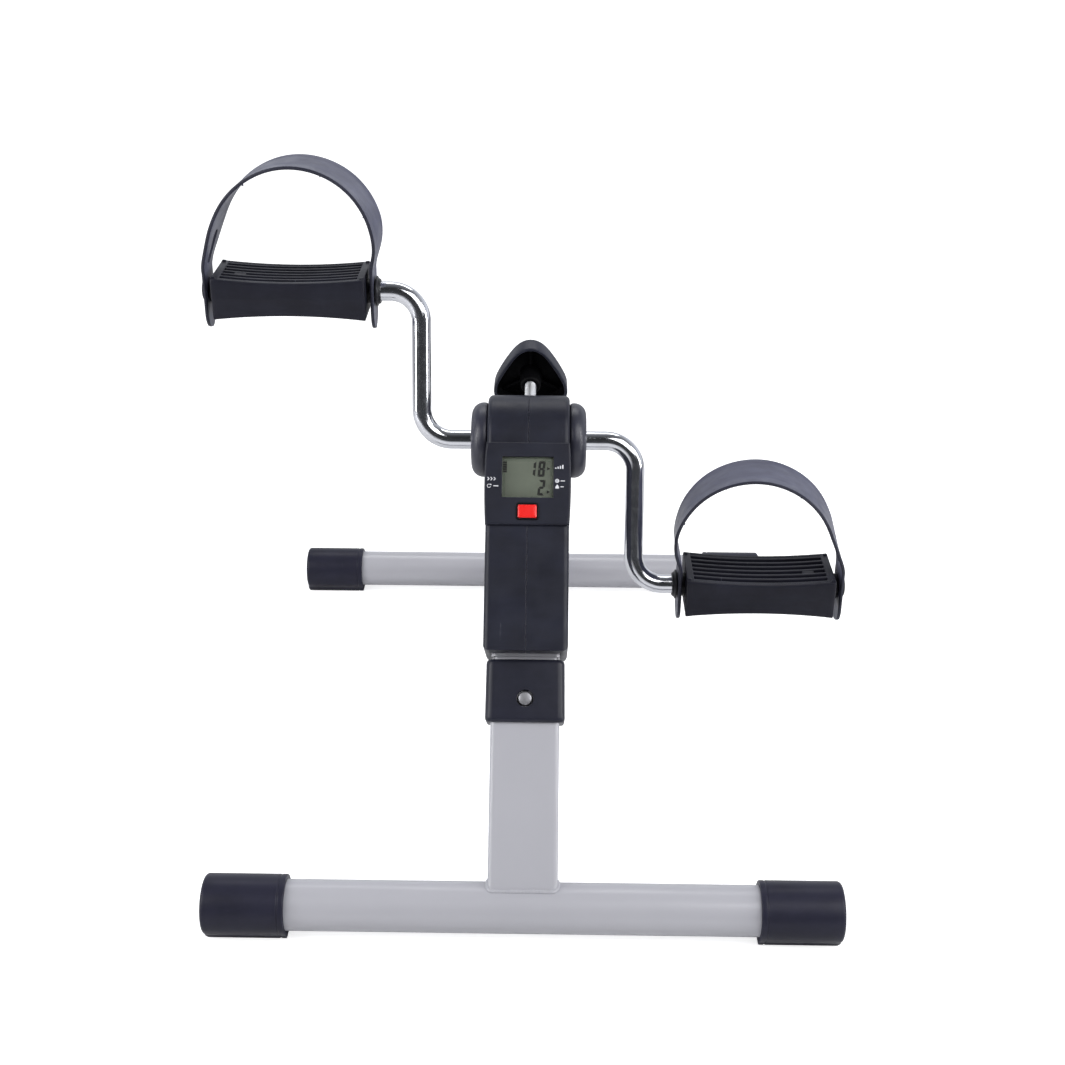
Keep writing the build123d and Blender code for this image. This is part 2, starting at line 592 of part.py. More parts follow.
# ---- pedals (drawn about the right spindle's axis) -------------------------------------------------
def pedal_body():
    """Moulded pedal: hollowed treads along its length, sagging top and arched underside."""
    x0, x1 = PEDAL_IN, PEDAL_OUT
    h = PEDAL_HALF_H
    middle = (x0 + x1) / 2
    outline = Polyline((x0, h), (x0, -h))
    outline += ThreePointArc((x0, -h), (middle, -h + PEDAL_SAG), (x1, -h))
    outline += Polyline((x1, -h), (x1, h))
    outline += ThreePointArc((x1, h), (middle, h - PEDAL_SAG), (x0, h))
    side = extrude(Plane.XZ.location * make_face(outline), PEDAL_HALF_D, both=True)
    d, low = PEDAL_HALF_D, PEDAL_HALF_D - PEDAL_UNDERCUT
    end = Polyline((-d, h), (-d, 0), (-low, -h), (low, -h), (d, 0), (d, h), close=True)
    ends = Pos(x0, 0, 0) * extrude(Plane.YZ.location * make_face(end), x1 - x0)
    body = side & ends
    body -= cylinder_x(PEDAL_CORE_R, (x0 - 1, x1))
    body -= cylinder_x(PEDAL_BUSH_R, (x0 - 1, PEDAL_BUSH_IN[1]))
    body -= cylinder_x(PEDAL_BUSH_R, (PEDAL_BUSH_OUT[0], x1))
    body -= cylinder_x(PEDAL_POCKET_R, (PEDAL_BUSH_OUT[1], x1 + 1))
    for sign in (-1, 1):
        near, far = sorted((sign * CAVITY_Y[0], sign * CAVITY_Y[1]))
        body -= block(CAVITY_X, (near, far), CAVITY_Z)
    for i in range(SLOT_COUNT):
        y = (i - (SLOT_COUNT - 1) / 2) * SLOT_PITCH
        floor = SLOT_FLOOR if abs(y) < CAVITY_Y[0] else 0
        body -= block(SLOT_X, (y - SLOT_W / 2, y + SLOT_W / 2), (floor, 2 * h))
    return body


def pedal_bushes():
    """Two plastic bushes on the spindle; the inner one ends in a collar that holds the strap on."""
    inner = cylinder_x(PEDAL_BUSH_R, PEDAL_BUSH_IN)
    collar = cylinder_x(PEDAL_COLLAR_R, (PEDAL_COLLAR_X, PEDAL_BUSH_IN[0]))
    collar = chamfer(collar.faces().sort_by(Axis.X)[0].edges(), PEDAL_COLLAR_CHAMFER)
    outer = cylinder_x(PEDAL_BUSH_R, PEDAL_BUSH_OUT)
    return inner + collar + outer - cylinder_x(ROD_R + ROD_PLAY, (0, 2 * PEDAL_OUT))


def pedal_end_cap():
    """Plug in the pedal's outer end with a mushroom peg for the strap."""
    cap = cylinder_x(PEDAL_POCKET_R, END_CAP_X)
    cap += cylinder_x(END_CAP_BOSS_R, (END_CAP_X[1], END_CAP_BOSS_OUT))
    cap += cylinder_x(END_CAP_NECK_R, (END_CAP_BOSS_OUT, END_CAP_HEAD_X[0]))
    head = cylinder_x(END_CAP_HEAD_R, END_CAP_HEAD_X)
    return cap + fillet(head.faces().sort_by(Axis.X)[-1].edges(), END_CAP_HEAD_EDGE)


def strap_middle():
    """Middle line of the strap's arch, from its inner end over the foot to its outer end."""
    start = (-STRAP_FOOT, STRAP_STRAIGHT)
    end = (STRAP_FOOT, STRAP_STRAIGHT)
    return Spline(start, *STRAP_LINE, end, tangents=((0, 1), (0, -1)))


def strap_arch(inset, half_depth):
    """Solid filling the strap's arch in side view, with its outline moved inwards by inset."""
    middle = strap_middle()
    points = []
    for i in range(STRAP_STEPS + 1):
        at = middle @ (i / STRAP_STEPS)
        along = middle % (i / STRAP_STEPS)
        points.append((at.X + inset * along.Y, at.Y - inset * along.X))
    foot = STRAP_FOOT - inset
    low = STRAP_TONGUE - 2 * STRAP_T + inset
    outline = Spline(*points, tangents=((0, 1), (0, -1)))
    outline += Polyline(points[-1], (foot, low), (-foot, low), points[0])
    return extrude(Plane.XZ.location * make_face(outline), half_depth, both=True)


def strap_width():
    """Solid with the strap's outline seen from its end: round tongues, widening up to the arch."""
    wide, end, low = STRAP_HALF_W, STRAP_END_HALF_W, STRAP_TONGUE
    right_side = [(end, STRAP_STRAIGHT), STRAP_FLARE, (wide, STRAP_FULL_Z), (wide, 2 * STRAP_REACH)]
    left_side = [(-y, z) for y, z in reversed(right_side)]
    side = ThreePointArc((-end, low + end), (0, low), (end, low + end))
    side += Polyline((end, low + end), *right_side, *left_side, (-end, low + end))
    return extrude(Plane.YZ.location * make_face(side), STRAP_REACH, both=True)


def pedal_strap():
    """Moulded strap arching over the foot; its ends pivot on the collar and on the peg."""
    strap = strap_arch(-STRAP_T / 2, STRAP_HALF_W + 1) & strap_width()
    strap -= strap_arch(STRAP_T / 2, STRAP_HALF_W + 2)
    strap = Pos(STRAP_MID, 0, 0) * strap
    inner_end = (PEDAL_IN - 4 * STRAP_T, PEDAL_IN)
    outer_end = (END_CAP_BOSS_OUT, PEDAL_OUT + 6 * STRAP_T)
    strap -= cylinder_x(PEDAL_BUSH_R + STRAP_HOLE_PLAY, inner_end)
    strap -= cylinder_x(END_CAP_NECK_R + STRAP_HOLE_PLAY, outer_end)
    r = STRAP_SLOT_HALF_W
    low, high = STRAP_SLOT_Z[0] + r, STRAP_SLOT_Z[1] - r
    for z in (low, high):
        strap -= cylinder_x(r, STRAP_SLOT_X, 0, z)
    strap -= block(STRAP_SLOT_X, (-r, r), (low, high))
    return Rot(-STRAP_LEAN, 0, 0) * strap


def spindle_centre(direction):
    """Position of a pedal's spindle; direction is 1 up the tilt or -1 down it."""
    y = AXLE_Y + direction * THROW * sin(radians(CRANK_TILT))
    z = AXLE_Z + direction * THROW * cos(radians(CRANK_TILT))
    return Pos(0, y, z)


# ---- display ---------------------------------------------------------------------------------------
def display_bezel():
    """Front plate of the display with bowed sides and a hollow plug into the housing."""
    z0, z1 = BEZEL_Z
    middle = (z0 + z1) / 2
    w = BEZEL_HALF_W
    outline = Polyline((-w, z1), (w, z1)) + ThreePointArc((w, z1), (BEZEL_BULGE, middle), (w, z0))
    outline += Polyline((w, z0), (-w, z0)) + ThreePointArc((-w, z0), (-BEZEL_BULGE, middle), (-w, z1))
    plate = Pos(0, -BEZEL_BACK, 0) * extrude(Plane.XZ.location * make_face(outline), BEZEL_FRONT - BEZEL_BACK)
    plate = fillet(plate.faces().sort_by(Axis.Y)[0].edges(), BEZEL_EDGE)
    body = plate + block((-PLUG_HALF_W, PLUG_HALF_W), (-BEZEL_BACK, -PLUG_BACK), PLUG_Z)
    half = PLUG_HALF_W - PLUG_WALL
    hollow_z = (PLUG_Z[0] + PLUG_WALL, PLUG_Z[1] - PLUG_WALL)
    body -= block((-half, half), (-BEZEL_FRONT + BEZEL_PLATE, 0), hollow_z)
    body -= block((-WINDOW_HALF_W, WINDOW_HALF_W), (-2 * BEZEL_FRONT, 0), WINDOW_Z)
    opening = button_outline(BUTTON_PLAY)
    return UPRIGHT * (body - extrude(Plane.XZ.location * opening, 2 * BEZEL_FRONT))


def button_outline(grow):
    """Rounded outline of the display button, grown all round."""
    width = 2 * (BUTTON_HALF_W + grow)
    height = BUTTON_Z[1] - BUTTON_Z[0] + 2 * grow
    return Pos(0, sum(BUTTON_Z) / 2) * RectangleRounded(width, height, BUTTON_CORNER)


def display_lens():
    """Clear window behind the bezel."""
    half = WINDOW_HALF_W + LENS_MARGIN
    front = -BEZEL_FRONT + BEZEL_PLATE
    z = (WINDOW_Z[0] - LENS_MARGIN, WINDOW_Z[1] + LENS_MARGIN)
    return UPRIGHT * block((-half, half), (front, front + LENS_T), z)


def lcd_panel():
    """Liquid-crystal panel behind the lens."""
    half = WINDOW_HALF_W + LENS_MARGIN / 2
    front = -BEZEL_FRONT + BEZEL_PLATE + LENS_T
    z = (WINDOW_Z[0] - LENS_MARGIN / 2, WINDOW_Z[1] + LENS_MARGIN / 2)
    return UPRIGHT * block((-half, half), (front, front + LCD_T), z)


def circuit_board():
    """Board filling the plug, with a frame under the panel and a push switch under the button."""
    half = PLUG_HALF_W - PLUG_WALL
    board = block((-half, half), BOARD_Y, (PLUG_Z[0] + PLUG_WALL, PLUG_Z[1] - PLUG_WALL))
    panel_back = -BEZEL_FRONT + BEZEL_PLATE + LENS_T + LCD_T
    ring = block((-WINDOW_HALF_W, WINDOW_HALF_W), (panel_back, BOARD_Y[0]), WINDOW_Z)
    inner_z = (WINDOW_Z[0] + 2, WINDOW_Z[1] - 2)
    ring -= block((-WINDOW_HALF_W + 2, WINDOW_HALF_W - 2), (panel_back, BOARD_Y[0]), inner_z)
    centre = sum(BUTTON_Z) / 2
    switch_z = (centre - SWITCH_HALF, centre + SWITCH_HALF)
    switch = block((-SWITCH_HALF, SWITCH_HALF), (BOARD_Y[0] - SWITCH_T, BOARD_Y[0]), switch_z)
    return UPRIGHT * (board + ring + switch)


def mode_button():
    """Display button: rounded face, retaining lip and a stem over the switch."""
    front = -BEZEL_FRONT + BEZEL_PLATE + SNAP_PLAY
    face = Pos(0, front, 0) * extrude(Plane.XZ.location * button_outline(0), BUTTON_FRONT + front)
    face = fillet(face.faces().sort_by(Axis.Y)[0].edges(), 0.8)
    lip = Pos(0, front + BUTTON_LIP_T, 0) * extrude(Plane.XZ.location * button_outline(BUTTON_LIP), BUTTON_LIP_T)
    stem = cylinder_y(BUTTON_STEM_R, (front, BUTTON_STEM_Y), z=sum(BUTTON_Z) / 2)
    return UPRIGHT * (face + lip + stem)


def battery():
    """Button cell on the back of the board."""
    x, z = BATTERY_AT
    return UPRIGHT * cylinder_y(BATTERY_R, (BOARD_Y[1], BOARD_Y[1] + BATTERY_T), x=x, z=z)


def reed_sensor():
    """Revolution sensor standing on the bracket's bridge, next to the magnet's path."""
    base = POST_TOP + BRIDGE_T
    return UPRIGHT * block(SENSOR_X, (-SENSOR_HALF_D, SENSOR_HALF_D), (base, SENSOR_TOP))


def sensor_cable():
    """Thin cable from the sensor to the back of the board."""
    x = sum(SENSOR_X) / 2
    start = (x, -SENSOR_HALF_D, 270.0)
    end = (x - 6, BOARD_Y[1], 268.0)
    path = Spline(start, (x - 3, -14.0, 268.0), end, tangents=[(0, -1, 0), (0, -1, 0)])
    section = Plane(origin=path @ 0, z_dir=path % 0) * Circle(CABLE_R)
    return UPRIGHT * sweep(section, path=path)


def all_parts():
    """Every node's name and shape."""
    front = (-FOOT_SPACING / 2, FOOT_AXIS_Z, FOOT_R)
    rear = (FOOT_SPACING / 2, REAR_AXIS_Z, REAR_FOOT_R)
    front_cap = foot_cap(*front, CAP_R, CAP_LEN)
    rear_cap = foot_cap(*rear, REAR_CAP_R, REAR_CAP_LEN)
    shell = housing_shell()
    parts = {
        "front_foot_tube": foot_tube(*front),
        "rear_foot_tube": foot_tube(*rear),
        "front_cap_right": front_cap,
        "front_cap_left": mirrored_x(front_cap),
        "rear_cap_right": rear_cap,
        "rear_cap_left": mirrored_x(rear_cap),
        "front_leg_tube": front_leg_tube(),
        "leg_collar": leg_collar(),
        "main_post": main_post(),
        "hinge_channel": hinge_channel(),
        "hinge_pin": hinge_pin(),
        "snap_button": snap_button(),
        "snap_spring": snap_spring(),
        "rear_leg": rear_leg(),
        "head_bracket": head_bracket(),
        "bearing_right": axle_bearing(),
        "bearing_left": mirrored_x(axle_bearing()),
        "housing_left": housing_half(shell, -1),
        "housing_right": housing_half(shell, 1),
        "housing_screws": housing_screws(),
        "hub_cover_right": hub_cover(),
        "hub_cover_left": mirrored_x(hub_cover()),
        "tension_nut": tension_nut(),
        "brake_shoe": brake_shoe(),
        "brake_felt": brake_felt(),
        "tension_screw": tension_screw(),
        "tension_knob": tension_knob(),
        "axle_sleeve": axle_sleeve(),
        "brake_drum": brake_drum(),
        "crank_right": CRANK * right_rod(-1),
        "crank_left": mirrored_x(CRANK * right_rod(1)),
        "cross_bolts": cross_bolts(),
        "drum_magnet": drum_magnet(),
        "spindle_clips": spindle_clips(),
        "display_bezel": display_bezel(),
        "display_lens": display_lens(),
        "lcd_panel": lcd_panel(),
        "circuit_board": circuit_board(),
        "mode_button": mode_button(),
        "battery": battery(),
        "reed_sensor": reed_sensor(),
        "sensor_cable": sensor_cable(),
    }
    pieces = {
        "body": pedal_body(),
        "bushes": pedal_bushes(),
        "cap": pedal_end_cap(),
        "strap": pedal_strap(),
    }
    for name, piece in pieces.items():
        parts["pedal_right_" + name] = spindle_centre(-1) * piece
        parts["pedal_left_" + name] = mirrored_x(spindle_centre(1) * piece)
    return parts


for node, shape in all_parts().items():
    export_step(shape, "parts/" + node + ".step")
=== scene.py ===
"""Looks for the folding pedal exerciser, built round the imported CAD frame."""
import json
import math

import bmesh
import bpy
import numpy as np
from mathutils import Matrix, Vector


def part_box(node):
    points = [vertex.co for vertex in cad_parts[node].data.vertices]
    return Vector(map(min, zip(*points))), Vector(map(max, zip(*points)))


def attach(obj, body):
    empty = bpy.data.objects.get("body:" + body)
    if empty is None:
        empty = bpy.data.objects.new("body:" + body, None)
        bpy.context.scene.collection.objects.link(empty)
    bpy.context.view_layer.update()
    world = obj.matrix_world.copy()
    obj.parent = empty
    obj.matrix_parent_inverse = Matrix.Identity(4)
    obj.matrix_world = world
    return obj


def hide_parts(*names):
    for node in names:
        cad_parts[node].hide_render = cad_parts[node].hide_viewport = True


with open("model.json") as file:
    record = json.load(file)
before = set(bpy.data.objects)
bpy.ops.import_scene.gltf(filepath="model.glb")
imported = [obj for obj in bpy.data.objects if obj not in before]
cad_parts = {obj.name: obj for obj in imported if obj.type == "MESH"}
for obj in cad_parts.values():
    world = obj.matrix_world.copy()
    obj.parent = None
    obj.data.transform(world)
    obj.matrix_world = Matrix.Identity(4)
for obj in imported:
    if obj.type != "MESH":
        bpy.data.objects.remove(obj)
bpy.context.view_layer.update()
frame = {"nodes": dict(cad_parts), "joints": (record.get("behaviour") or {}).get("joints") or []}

JOINTS = {j["name"]: j for j in frame["joints"]}
pi, tau = math.pi, math.tau


# ---- frames taken from the record: local coordinates in millimetres, results in metres ----
def centre(node):
    low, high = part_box(node)
    return (Vector(low) + Vector(high)) / 2


def radius_mm(node):
    """Radius of a round part that lies along X."""
    low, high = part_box(node)
    return (high[2] - low[2]) * 500


def span_mm(node):
    """Nearest and farthest distance of a node from the mid-plane."""
    low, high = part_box(node)
    return min(abs(low[0]), abs(high[0])) * 1000, max(abs(low[0]), abs(high[0])) * 1000


def side_sign(side):
    return 1 if side == "right" else -1


def mirrored(parts, sign):
    """The same mesh, flipped across the mid-plane when the sign is -1."""
    verts, faces = parts
    return [(sign * x, y, z) for x, y, z in verts], faces


def axes(origin, y_axis, z_axis):
    """Matrix from local millimetres (X to the user's right) to the row frame."""
    rows = [Vector((1, 0, 0)), Vector(y_axis), Vector(z_axis)]
    turn = Matrix(rows).transposed().to_4x4()
    return Matrix.Translation(Vector(origin)) @ turn @ Matrix.Scale(0.001, 4)


def world_mm(origin):
    """Row axes at an origin, in millimetres."""
    return Matrix.Translation(Vector(origin)) @ Matrix.Scale(0.001, 4)


FRONT = centre("front_foot_tube")
REAR = centre("rear_foot_tube")
AXLE = Vector(JOINTS["crank_turn"]["pos_m"])
SPINDLE = {side: Vector(JOINTS[f"pedal_{side}_turn"]["pos_m"]) for side in ("left", "right")}
rearward = Vector(JOINTS["mode_press"]["axis"]).normalized()
post_up = Vector((1, 0, 0)).cross(rearward)
UPRIGHT = axes(FRONT, rearward, post_up)
screw_out = -Vector(JOINTS["brake_feed"]["axis"]).normalized()
TENSION = axes(AXLE, screw_out.cross(Vector((1, 0, 0))), screw_out)
arm = (SPINDLE["left"] - AXLE).normalized()
CRANK = axes(AXLE, arm.cross(Vector((1, 0, 0))), arm)
THROW = (SPINDLE["left"] - AXLE).length * 1000

# ---- sizes in millimetres, for the pieces drawn in code ----
TUBE_HALF_W, TUBE_HALF_D, TUBE_CORNER = 22.0, 12.5, 3.0    # rectangular leg and post
SNAP_Z = 130.0              # height of the lock button up the leg
REAR_JOIN_Z = 247.0         # height up the post where the rear leg starts
COLLAR_Z = (115.0, 155.0)
COLLAR_HALF_W, COLLAR_FRONT = 25.1, 15.7
CHANNEL_HALF_D, CHANNEL_WALL, CHANNEL_NOSE, CHANNEL_TOP = 10.5, 2.0, 5.4, 205.0
ROD_R, ROD_ARM_X, ROD_BEND = 6.35, 71.5, 20.0
PEDAL_IN, PEDAL_OUT, PEDAL_HALF_D = 106.5, 205.5, 21.7
PEDAL_HALF_H, PEDAL_SAG = 14.0, 2.8
TREAD_BARS, TREAD_PITCH = 7, 5.8
STRAP_MID, STRAP_FOOT, STRAP_STRAIGHT = 157.1, 54.25, 14.0
STRAP_LINE = [(-57.1, 27.5), (-41.8, 70.6), (0.5, 83.4), (35.7, 62.1), (51.2, 27.4)]    # over the foot
STRAP_TONGUE, STRAP_HALF_W, STRAP_END_HALF_W, STRAP_T = -24.8, 18.8, 12.5, 2.3
STRAP_FULL_Z = 46.0         # the strap has its full width above this
KNOB_RIM, KNOB_BACK = 68.0, 83.0                           # along the screw, from the axle
KNOB_MEAN_R, KNOB_LOBE, KNOB_LOBE_2 = 24.7, 3.2, 0.34
SCREW_PITCH, SCREW_R, SCREW_ROOT, SCREW_Z = 1.25, 3.95, 3.3, (20.0, 79.9)
SPINDLE_BORE = 6.42
LCD_Y, PRINT_Y = -29.08, -32.04                            # fronts of the digits and the white marks


# ---- mesh helpers ----
def new_object(name, verts, faces, place, weld=True):
    """Mesh object from local-millimetre points, with its normals turned outward."""
    mesh = bpy.data.meshes.new(name)
    mesh.from_pydata([place @ Vector(v) for v in verts], [], faces)
    bm = bmesh.new()
    bm.from_mesh(mesh)
    if weld:
        bmesh.ops.remove_doubles(bm, verts=bm.verts, dist=1e-7)
    bmesh.ops.recalc_face_normals(bm, faces=bm.faces)
    bm.to_mesh(mesh)
    bm.free()
    obj = bpy.data.objects.new(name, mesh)
    bpy.context.collection.objects.link(obj)
    return obj


def make(name, body, verts, faces, place, mat, slot, smooth=True, sharp=35):
    """Piece in one material that rides on a body."""
    obj = new_object(name, verts, faces, place)
    obj.data.materials.append(mat)
    if smooth:
        smooth_by_angle(obj, sharp)
    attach(obj, body)
    return obj


def smooth_by_angle(obj, degrees):
    for poly in obj.data.polygons:
        poly.use_smooth = True
    obj.data.set_sharp_from_angle(angle=math.radians(degrees))


def loft(rings, cyclic=False):
    """Quads between rings of equal length; open ends are closed with one face each."""
    verts = [p for ring in rings for p in ring]
    n = len(rings[0])
    faces = []
    count = len(rings)
    for i in range(count if cyclic else count - 1):
        a, b = i * n, ((i + 1) % count) * n
        for j in range(n):
            k = (j + 1) % n
            faces.append((a + j, a + k, b + k, b + j))
    if not cyclic:
        faces += [tuple(range(n))[::-1], tuple(range((count - 1) * n, count * n))]
    return verts, faces


def join(*parts):
    """Several (verts, faces) pairs as one."""
    verts, faces = [], []
    for v, f in parts:
        base = len(verts)
        verts += v
        faces += [tuple(i + base for i in face) for face in f]
    return verts, faces


def lathe(profile, n, closed=True):
    """Turns (x, r) points about the local X axis. A closed profile makes a ring-like solid."""
    turns = [(math.cos(tau * j / n), math.sin(tau * j / n)) for j in range(n)]
    rings = [[(x, r * c, r * s) for c, s in turns] for x, r in profile]
    return loft(rings, cyclic=closed)


def arc(cx, cy, r, a0, a1, steps):
    """Points on a circle, angles in degrees."""
    out = []
    for i in range(steps + 1):
        a = math.radians(a0 + (a1 - a0) * i / steps)
        out.append((cx + r * math.cos(a), cy + r * math.sin(a)))
    return out


def rounded_rect(half_w, half_h, r, steps=5):
    """Outline of a rounded rectangle, counter-clockwise."""
    points = []
    for sx, sy, start in ((1, 1, 0), (-1, 1, 90), (-1, -1, 180), (1, -1, 270)):
        points += arc(sx * (half_w - r), sy * (half_h - r), r, start, start + 90, steps)
    return points


def circle_at(p, side, top, r, n):
    """Round section about a point, across two unit vectors."""
    angles = [tau * j / n for j in range(n)]
    return [tuple(p + side * (r * math.cos(a)) + top * (r * math.sin(a))) for a in angles]


def sweep(path, radii, n):
    """Round tube along points that lie in the local XZ plane."""
    pts = [Vector(p) for p in path]
    rings = []
    for i, p in enumerate(pts):
        ahead = (pts[min(i + 1, len(pts) - 1)] - pts[max(i - 1, 0)]).normalized()
        side = ahead.cross(Vector((0, 1, 0))).normalized()
        rings.append(circle_at(p, side, side.cross(ahead).normalized(), radii[i], n))
    return loft(rings)


def bar(x0, x1, ys, zs, r=0.4, steps=20, end_round=0.6):
    """Bar along X whose section is y0..y1 by z0(x)..z1(x), with rounded edges and ends."""
    rings = []
    stops = [(x0, end_round), (x0 + 0.3 * end_round, 0.3 * end_round), (x0 + end_round, 0.0)]
    stops += [(x0 + (x1 - x0) * i / steps, 0.0) for i in range(1, steps)]
    stops += [(x1 - end_round, 0.0), (x1 - 0.3 * end_round, 0.3 * end_round), (x1, end_round)]
    for x, inset in sorted(stops):
        y0, y1 = ys
        z0, z1 = zs[0](x), zs[1](x)
        half_y, half_z = (y1 - y0) / 2 - inset * 0.5, (z1 - z0) / 2 - inset * 0.5
        cy, cz = (y0 + y1) / 2, (z0 + z1) / 2
        rr = min(r, 0.9 * half_y, 0.9 * half_z)
        rings.append([(x, cy + p[0], cz + p[1]) for p in rounded_rect(half_y, half_z, rr, 3)])
    return loft(rings)


def cut(obj, tool_parts, place):
    """Subtracts a closed local mesh from an object and removes the tool."""
    tool = new_object("cutter", *tool_parts, place, weld=False)
    mod = obj.modifiers.new("cut", "BOOLEAN")
    mod.operation, mod.object, mod.solver = "DIFFERENCE", tool, "EXACT"
    apply_modifiers(obj)
    bpy.data.objects.remove(tool)


def apply_modifiers(obj):
    """Replaces the object's mesh with the evaluated one."""
    deps = bpy.context.evaluated_depsgraph_get()
    mesh = bpy.data.meshes.new_from_object(obj.evaluated_get(deps))
    obj.modifiers.clear()
    obj.data = mesh


def bevelled(obj, width_mm):
    """Rounds an object's sharp edges."""
    mod = obj.modifiers.new("bevel", "BEVEL")
    mod.width, mod.segments = width_mm / 1000, 3
    mod.limit_method, mod.angle_limit = "ANGLE", math.radians(30)
    mod.harden_normals = False
    apply_modifiers(obj)
    smooth_by_angle(obj, 40)


# ---- materials ----
def srgb(r, g, b):
    """Linear colour from screen values of 0 to 255."""
    def lin(c):
        c /= 255
        return c / 12.92 if c <= 0.04045 else ((c + 0.055) / 1.055) ** 2.4
    return (lin(r), lin(g), lin(b), 1)


class Nodes:
    """Small wrapper that adds and links shader nodes."""

    def __init__(self, name):
        self.mat = bpy.data.materials.new(name)
        self.mat.use_nodes = True
        self.tree = self.mat.node_tree
        self.bsdf = self.tree.nodes["Principled BSDF"]
        self.coord = self.add("ShaderNodeTexCoord").outputs["Object"]

    def add(self, kind, **settings):
        node = self.tree.nodes.new(kind)
        for key, value in settings.items():
            if hasattr(node, key):
                setattr(node, key, value)
            else:
                node.inputs[key].default_value = value
        return node

    def link(self, a, b):
        self.tree.links.new(a, b)

    def put(self, value, socket):
        """Feeds a socket from another node's output, or with a plain value."""
        if hasattr(value, "links"):
            self.link(value, socket)
        else:
            socket.default_value = value

    def noise(self, scale, detail=4.0, rough=0.55, stretch=None, seed=0.0):
        mapping = self.add("ShaderNodeMapping")
        mapping.inputs["Scale"].default_value = stretch or (1, 1, 1)
        mapping.inputs["Location"].default_value = (seed, seed * 0.7, seed * 1.3)
        self.link(self.coord, mapping.inputs["Vector"])
        node = self.add("ShaderNodeTexNoise", Scale=scale, Detail=detail, Roughness=rough)
        self.link(mapping.outputs["Vector"], node.inputs["Vector"])
        return node.outputs["Fac"]

    def ramp(self, fac, low, high, v0=0.0, v1=1.0):
        node = self.add("ShaderNodeMapRange")
        node.clamp = True
        for key, value in (("From Min", low), ("From Max", high), ("To Min", v0), ("To Max", v1)):
            node.inputs[key].default_value = value
        self.link(fac, node.inputs["Value"])
        return node.outputs["Result"]

    def mix(self, fac, a, b):
        node = self.add("ShaderNodeMix", data_type="RGBA")
        for key, value in ((0, fac), (6, a), (7, b)):
            self.put(value, node.inputs[key])
        return node.outputs[2]

    def maths(self, op, a, b=0.0):
        node = self.add("ShaderNodeMath", operation=op)
        self.put(a, node.inputs[0])
        self.put(b, node.inputs[1])
        return node.outputs[0]

    def edge(self, radius_mm):
        """Mask that is 1 on convex and concave edges within a radius."""
        bevel = self.add("ShaderNodeBevel", samples=4)
        bevel.inputs["Radius"].default_value = radius_mm / 1000
        geo = self.add("ShaderNodeNewGeometry")
        dot = self.add("ShaderNodeVectorMath", operation="DOT_PRODUCT")
        self.link(bevel.outputs[0], dot.inputs[0])
        self.link(geo.outputs["Normal"], dot.inputs[1])
        return self.ramp(dot.outputs["Value"], 0.97, 0.80), bevel.outputs[0]

    def bump(self, height, strength, distance_mm, normal=None):
        node = self.add("ShaderNodeBump", Strength=strength, Distance=distance_mm / 1000)
        self.link(height, node.inputs["Height"])
        if normal is not None:
            self.link(normal, node.inputs["Normal"])
        return node.outputs["Normal"]

    def set(self, key, value):
        self.put(value, self.bsdf.inputs[key])


def plastic(name, dark, light, rough=(0.34, 0.48), grain=900, grain_mm=0.05, wear_and_highlight=0.35, edge_mm=0.5,
            streak=0.25, scratch=0.0, specular=0.26):
    """Moulded plastic: cloudy tone, fine texture, faint flow streaks, and paler edges that are partly rubbed
    wear and partly a painted highlight.
    """
    m = Nodes(name)
    dark, light = srgb(*dark), srgb(*light)
    cloud = m.noise(38, 5)
    flow = m.noise(160, 3, stretch=(0.25, 1.0, 1.0), seed=3.0)
    tone = m.maths("ADD", m.ramp(cloud, 0.35, 0.65, 0, 1 - streak), m.ramp(flow, 0.4, 0.62, 0, streak))
    colour = m.mix(tone, dark, light)
    fine = m.noise(grain, 3, 0.6, seed=1.7)
    normal = None
    # Paler edges: partly rubbed wear, partly a painted highlight where the edges would catch the light.
    if wear_and_highlight:
        mask, normal = m.edge(edge_mm)
        rub_and_highlight = m.maths("MULTIPLY", mask, m.ramp(m.noise(140, 4, seed=9.0), 0.35, 0.7, 0.25, 1))
        pale = tuple(min(1, c * 2.6 + 0.02) for c in light[:3]) + (1,)
        colour = m.mix(m.maths("MULTIPLY", rub_and_highlight, wear_and_highlight), colour, pale)
    roughness = m.ramp(m.noise(90, 5, seed=5.0), 0.3, 0.7, *rough)
    if scratch:
        lines = m.noise(520, 2, 0.4, stretch=(1.0, 0.06, 0.05), seed=4.0)
        across = m.noise(400, 2, 0.4, stretch=(0.05, 1.0, 0.9), seed=7.0)
        marks = m.maths("MAXIMUM", m.ramp(lines, 0.73, 0.78), m.ramp(across, 0.75, 0.80))
        where = m.ramp(m.noise(25, 3, seed=12.0), 0.5, 0.62)
        marks = m.maths("MULTIPLY", m.maths("MULTIPLY", marks, where), scratch)
        colour = m.mix(marks, colour, srgb(120, 122, 132))
        roughness = m.maths("ADD", roughness, m.maths("MULTIPLY", marks, 0.2))
    m.set("Base Color", colour)
    m.set("Roughness", roughness)
    m.set("Specular IOR Level", specular)
    m.set("Normal", m.bump(fine, 0.5, grain_mm, normal))
    return m.mat


